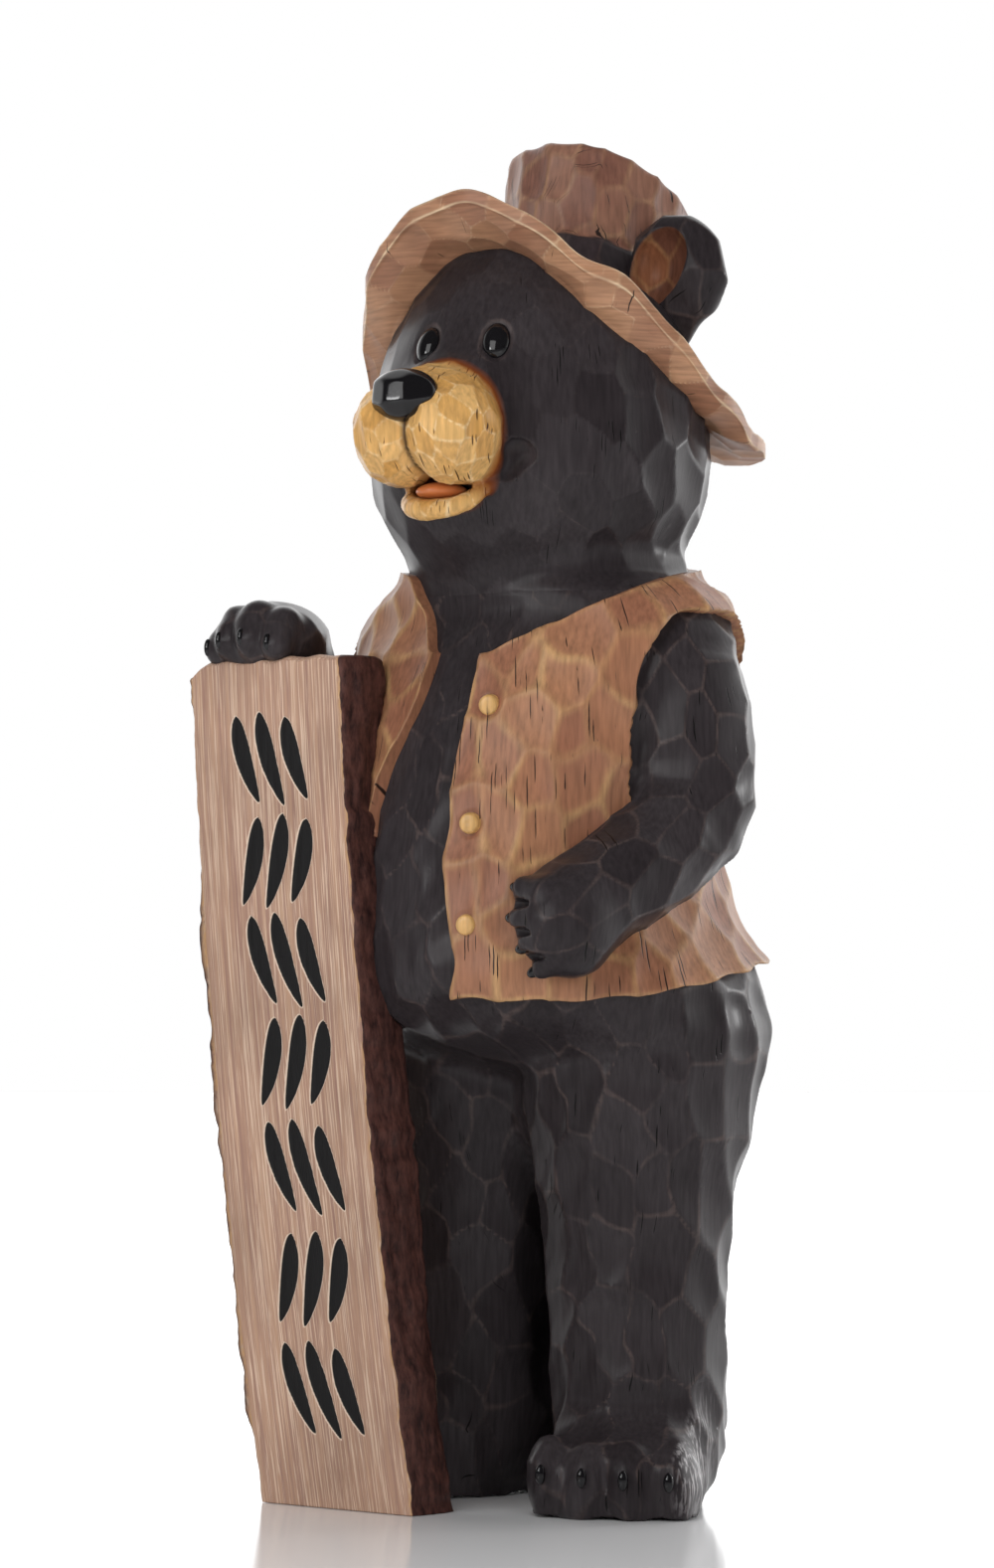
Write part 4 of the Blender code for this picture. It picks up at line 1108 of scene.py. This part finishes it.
# Crown: a flared drum that leans back, cast in one with the brim, with a charcoal band painted
# round its foot and a top that slopes down to the back.
CROWN_FOOT, CROWN_LEAN, CROWN_SLOPE = np.array([0.0, 0.033, 0.678]), math.radians(24), math.radians(12)
CROWN_AXIS = np.array([0, math.sin(CROWN_LEAN), math.cos(CROWN_LEAN)])
CROWN_BACK = np.array([0, math.cos(CROWN_LEAN), -math.sin(CROWN_LEAN)])
CROWN_CUT, CROWN_PRESS, BAND_TOP = (0.0092, 0.0140), 0.0014, 0.0410
CROWN = [  # (distance along the crown's own axis, radius)
    (-0.030, 0.0520), (-0.010, 0.0523), (0.0, 0.0525), (0.036, 0.0517), (0.0400, 0.0512),
    (0.0418, 0.0494), (0.050, 0.0506), (0.060, 0.0531), (0.072, 0.0565), (0.080, 0.0582),
    (0.0830, 0.0585), (0.0858, 0.0572), (0.0875, 0.0535), (0.0875, 0.0400), (0.0855, 0.0200),
    (0.0850, 0.0005),
]


def crown_sheet(rows=92, columns=220):
    """Rings up the crown's own axis, spaced by distance along its outline, then over the top."""
    stations = np.array(CROWN)
    run = np.append(0, np.cumsum(np.linalg.norm(np.diff(stations, axis=0), axis=1)))
    along, r = through(np.linspace(0, run[-1], rows), run, stations)
    angle = np.linspace(0, 2 * math.pi, columns, endpoint=False)
    tip = np.clip((along - 0.055) / 0.03, 0, 1)[:, None]
    along = along[:, None] - math.tan(CROWN_SLOPE) * np.cos(angle) * r[:, None] * tip
    along = along + 0.008 * tip * np.exp(-((angle - math.radians(228)) / 0.42) ** 2)
    r = r[:, None] * (1 + 0.012 * np.sin(2 * angle + 0.7) + 0.008 * np.sin(5 * angle))
    points = CROWN_FOOT + CROWN_AXIS * along[..., None] + r[..., None] * (
        np.sin(angle)[:, None] * (1, 0, 0) + np.cos(angle)[:, None] * CROWN_BACK)
    return points, along, angle


sheet, along, angle = crown_sheet()
crown = sheet.reshape(-1, 3)
quads = facing_out(crown, grid_quads(*sheet.shape[:2]))
normals = normals_of(crown, quads)
depth, ridge, cut = gouge(crown, laid_in(CROWN_AXIS, normals), *CROWN_CUT, 33)
level = along - BAND_TOP - 0.0015 * np.sin(angle * 3 + 1) - 0.0008 * np.sin(angle * 11)
band = np.clip(0.5 - level.ravel() / 0.0012, 0, 1)
crown = crown + normals * (CROWN_PRESS * (1 - 0.6 * band) * dish(depth, 1.5, 0.95))[:, None]

# Satin paint: a duller brown than the brim's, and nearly black on the band.
CROWN_PAINT = (("#7a5345", "#8c6553"), "#ad8a68", 0.55, 0.0020, "#22130f", 1.6)
BAND_PAINT = (("#2e282a", "#3a3032"), "#5c4a44", 0.5, 0.0012, "#120f0f", 0.0)
crown_paint = two_paints("painted resin, brown crown with a charcoal band", 0.42, 0.5, 0.5,
                         "band", 0.0, 1.0, CROWN_PAINT, BAND_PAINT)
piece("crown", on_neck(crown), quads, crown_paint, "tan_cloth", ridge=ridge, cut=cut, band=band)

# Plank: pale brushed wood with its bark left on the edges, one corner cut off, and seven groups
# of claw marks cut in the face and filled with charcoal paint. The bark is a rough dark brown.
MARKS = [(0.427, 0.505), (0.368, 0.515), (0.311, 0.535), (0.2525, 0.540), (0.1925, 0.544),
         (0.129, 0.519), (0.0665, 0.507)]             # (height, share of the width from the left)
MARK_LONG, MARK_WIDE = (0.0265, 0.0285, 0.0250), 0.0062       # half lengths and half width
MARK_APART, MARK_LEAN, MARK_BEND, MARK_DEEP = 0.0190, 0.30, 0.0025, 0.0013
FACE_POINTS, SIDE_POINTS, BACK_POINTS = 112, 20, 18
BARK_BULGE, BARK_ROUGH, GRAIN_ROUGH = 0.0062, 0.0014, 0.00014
EDGE_EASE = (0.0022, 0.0010)                          # width and depth of the rounded edges
END_STEPS, END_RISE = np.array([0.04, 0.12, 0.25, 0.5, 0.8, 1.0]), 0.0030


def ripple(p, seed, waves=14):
    """A rough value for each point, about -1 to 1: sines along random directions, added up."""
    rng = np.random.default_rng(seed)
    return np.sin(p @ rng.normal(size=(3, waves)) + rng.uniform(0, 6.3, waves)).sum(-1) / waves ** 0.5


def plank_sheet(rows=430):
    """Level loops up the plank: across the face, round the bark on the right, over the back and
    round the bark on the left. The edges are chipped by ripples along the height."""
    z = np.linspace(0, 1, rows)[:, None]
    kind = np.repeat((0, 1, 2, 3), (FACE_POINTS, SIDE_POINTS, BACK_POINTS, SIDE_POINTS))
    bend = np.linspace(0, math.pi, SIDE_POINTS + 2)[1:-1]
    front, back = np.zeros(FACE_POINTS), np.ones(BACK_POINTS)
    share = np.concatenate([np.linspace(0, 1, FACE_POINTS), np.ones(SIDE_POINTS),
                            np.linspace(1, 0, BACK_POINTS), np.zeros(SIDE_POINTS)])
    bulge = np.concatenate([front, np.sin(bend), 0 * back, -np.sin(bend)])
    deep = np.concatenate([front, (1 - np.cos(bend)) / 2, back, (1 + np.cos(bend)) / 2])
    top = PLANK_TOP - 0.008 * np.clip((0.115 - share) / 0.115, 0, 1) + 0.0006 * np.sin(share * 31)
    height = z * top
    left, right = plank_edge(PLANK_LEFT_EDGE, height), plank_edge(PLANK_RIGHT_EDGE, height)
    x = left + 0.002 + (right - left - 0.004) * share
    y = PLANK_FRONT + (PLANK_BACK - PLANK_FRONT) * deep + 0 * x
    swell = BARK_BULGE * (0.75 + 0.25 * np.sin(height * 31) * np.sin(height * 13 + 1))
    x = x + swell * np.where(bulge < 0, 0.45 * bulge, bulge)
    along = height[..., None]
    chips = 0.0012 * ripple(along * (0, 0, 150), 44) + 0.0003 * ripple(along * (0, 0, 540), 45)
    x = x + chips * np.where(bulge != 0, 1.0, share ** 10 + 0.4 * (1 - share) ** 20)
    return np.stack([x, y, height], -1), kind, share


def with_ends(values):
    """The same values for the loops of the two ends as for the first and last loops."""
    count = len(END_STEPS)
    return np.concatenate([values[:1]] * count + [values] + [values[-1:]] * count).ravel()


sheet, kind, share = plank_sheet()
rows, columns = sheet.shape[:2]
bark = ((kind == 1) | (kind == 3)) + np.zeros((rows, 1))
across = sheet[..., 0] - plank_edge(PLANK_LEFT_EDGE, sheet[..., 2])
width = 0.119 + 0.006 * sheet[..., 2]
mark = np.ones((rows, columns))
# Each mark is a bent leaf; its distance is found in its own axes, along it and aside.
for number, (middle, part) in enumerate(MARKS):
    way = 1 if number % 2 else -1
    c, s = math.cos(way * MARK_LEAN), math.sin(way * MARK_LEAN)
    v = sheet[..., 2] - middle
    for which, long in zip((-1, 0, 1), MARK_LONG):
        u = across - part * width - which * MARK_APART
        along = (v * c + u * s) / long
        aside = u * c - v * s + MARK_BEND * (along ** 2 - 0.4) * way
        thick = MARK_WIDE * np.clip(1 - along ** 2, 0, 1) ** 0.6 * (1.0 + 0.3 * along)
        past_tip = np.hypot(aside, (abs(along) - 1) * long)
        mark = np.minimum(mark, np.where(abs(along) < 1, abs(aside) - thick, past_tip))
mark[:, kind != 0] = 1.0
grain = ripple(sheet * (1, 1, 0.06) * 900, 41, 20)
rough = ripple(sheet * (1, 1, 0.30) * 130, 42) + 0.5 * ripple(sheet * (1, 1, 0.25) * 420, 43)
from_edge = np.minimum(share, 1 - share) * 0.12
corner = np.where(kind % 2 == 0, np.clip(1 - from_edge / EDGE_EASE[0], 0, 1), 0)
push = GRAIN_ROUGH * grain * (bark < 0.5) + BARK_ROUGH * rough * bark - EDGE_EASE[1] * corner ** 2
push = push - MARK_DEEP * np.clip(-mark / 0.0012 + 0.4, 0, 1)
flat = sheet.reshape(-1, 3)
normals = normals_of(flat, facing_out(flat, grid_quads(rows, columns)))
sheet = sheet + normals.reshape(sheet.shape) * push[..., None]
ends = []
for ring, sign in ((sheet[0], 0), (sheet[-1], 1)):
    middle = ring.copy()
    middle[:, 1] = (PLANK_FRONT + PLANK_BACK) / 2
    middle[:, 0] = ring[:, 0] * 0.9 + ring[:, 0].mean() * 0.1
    rise = sign * END_RISE * np.sqrt(np.clip(END_STEPS / 0.25, 0, 1))
    ends.append(np.array([ring + (middle - ring) * t + (0, 0, h) for t, h in zip(END_STEPS, rise)]))
whole = np.concatenate([ends[0][::-1], sheet, ends[1]])
whole[..., 2] = np.maximum(whole[..., 2], 0.0003)
points = whole.reshape(-1, 3)
quads = facing_out(points, grid_quads(len(whole), columns))

# Satin paint brushed like wire-brushed wood: streaks 1 mm apart over bands of 3 mm, which stay
# straight up the plank. The bark is blotched at 4 mm, rubbed ochre where it meets the face.
wood, tree, shader = new_material("painted resin, pale plank with bark", 0.55, 0.25)
side_on = stored(tree, "across")
place = add(tree, "TexCoord", out="Object")
_, y, z = add(tree, "SeparateXYZ", {0: place}).node.outputs
straight = add(tree, "CombineXYZ", {0: side_on, 1: y, 2: z})
fine = stretched(tree, straight, (1, 1, 0.013))
brushed = noise(tree, fine, 1300, 4)
broad = noise(tree, fine, 360, 3)
stain = noise(tree, place, 16, 4)
light_line = ramp(tree, brushed, 0.50, 0.64)
warm = ramp(tree, broad, 0.34, 0.68)
tan = mix(tree, warm, "#9f7c6d", "#ba967d")
tan = mix(tree, light_line, tan, "#d5b9a3")
shade = ramp(tree, stain, 0.3, 0.7, 0.86, 1.12)
tan = add(tree, "VectorMath", {0: tan, 3: shade}, operation="SCALE")
rind = stretched(tree, place, (1, 1, 0.3))
rind = noise(tree, rind, 260, 8, 0.7)
rind_tone = ramp(tree, rind, 0.35, 0.65)
bark_tint = mix(tree, rind_tone, "#281817", "#5d3b34")
on_bark = stored(tree, "bark")
tint = mix(tree, on_bark, tan, bark_tint)
at_edge = stored(tree, "edge")
worn = ramp(tree, rind, 0.42, 0.56)
worn = maths(tree, "MULTIPLY", at_edge, worn)
tint = mix(tree, worn, tint, "#c39a6e")
distance = stored(tree, "mark")
halo = ramp(tree, distance, 0.0009, 0.0004)
tint = mix(tree, halo, tint, "#e2ccb8")
inked = ramp(tree, distance, 0.0002, -0.0002)
tint = mix(tree, inked, tint, "#121112")
height = add(tree, "Mix", {0: on_bark, 2: brushed, 3: rind})
lay_paint(tree, shader, tint, height, 0.5, 0.0006)
edge = np.clip(1.6 * corner - 0.5, 0, 1) + np.zeros((rows, 1))
piece("board", points, quads, wood, "plank", "sign_board", across=with_ends(across),
      bark=with_ends(bark), mark=with_ends(mark), edge=with_ends(edge))
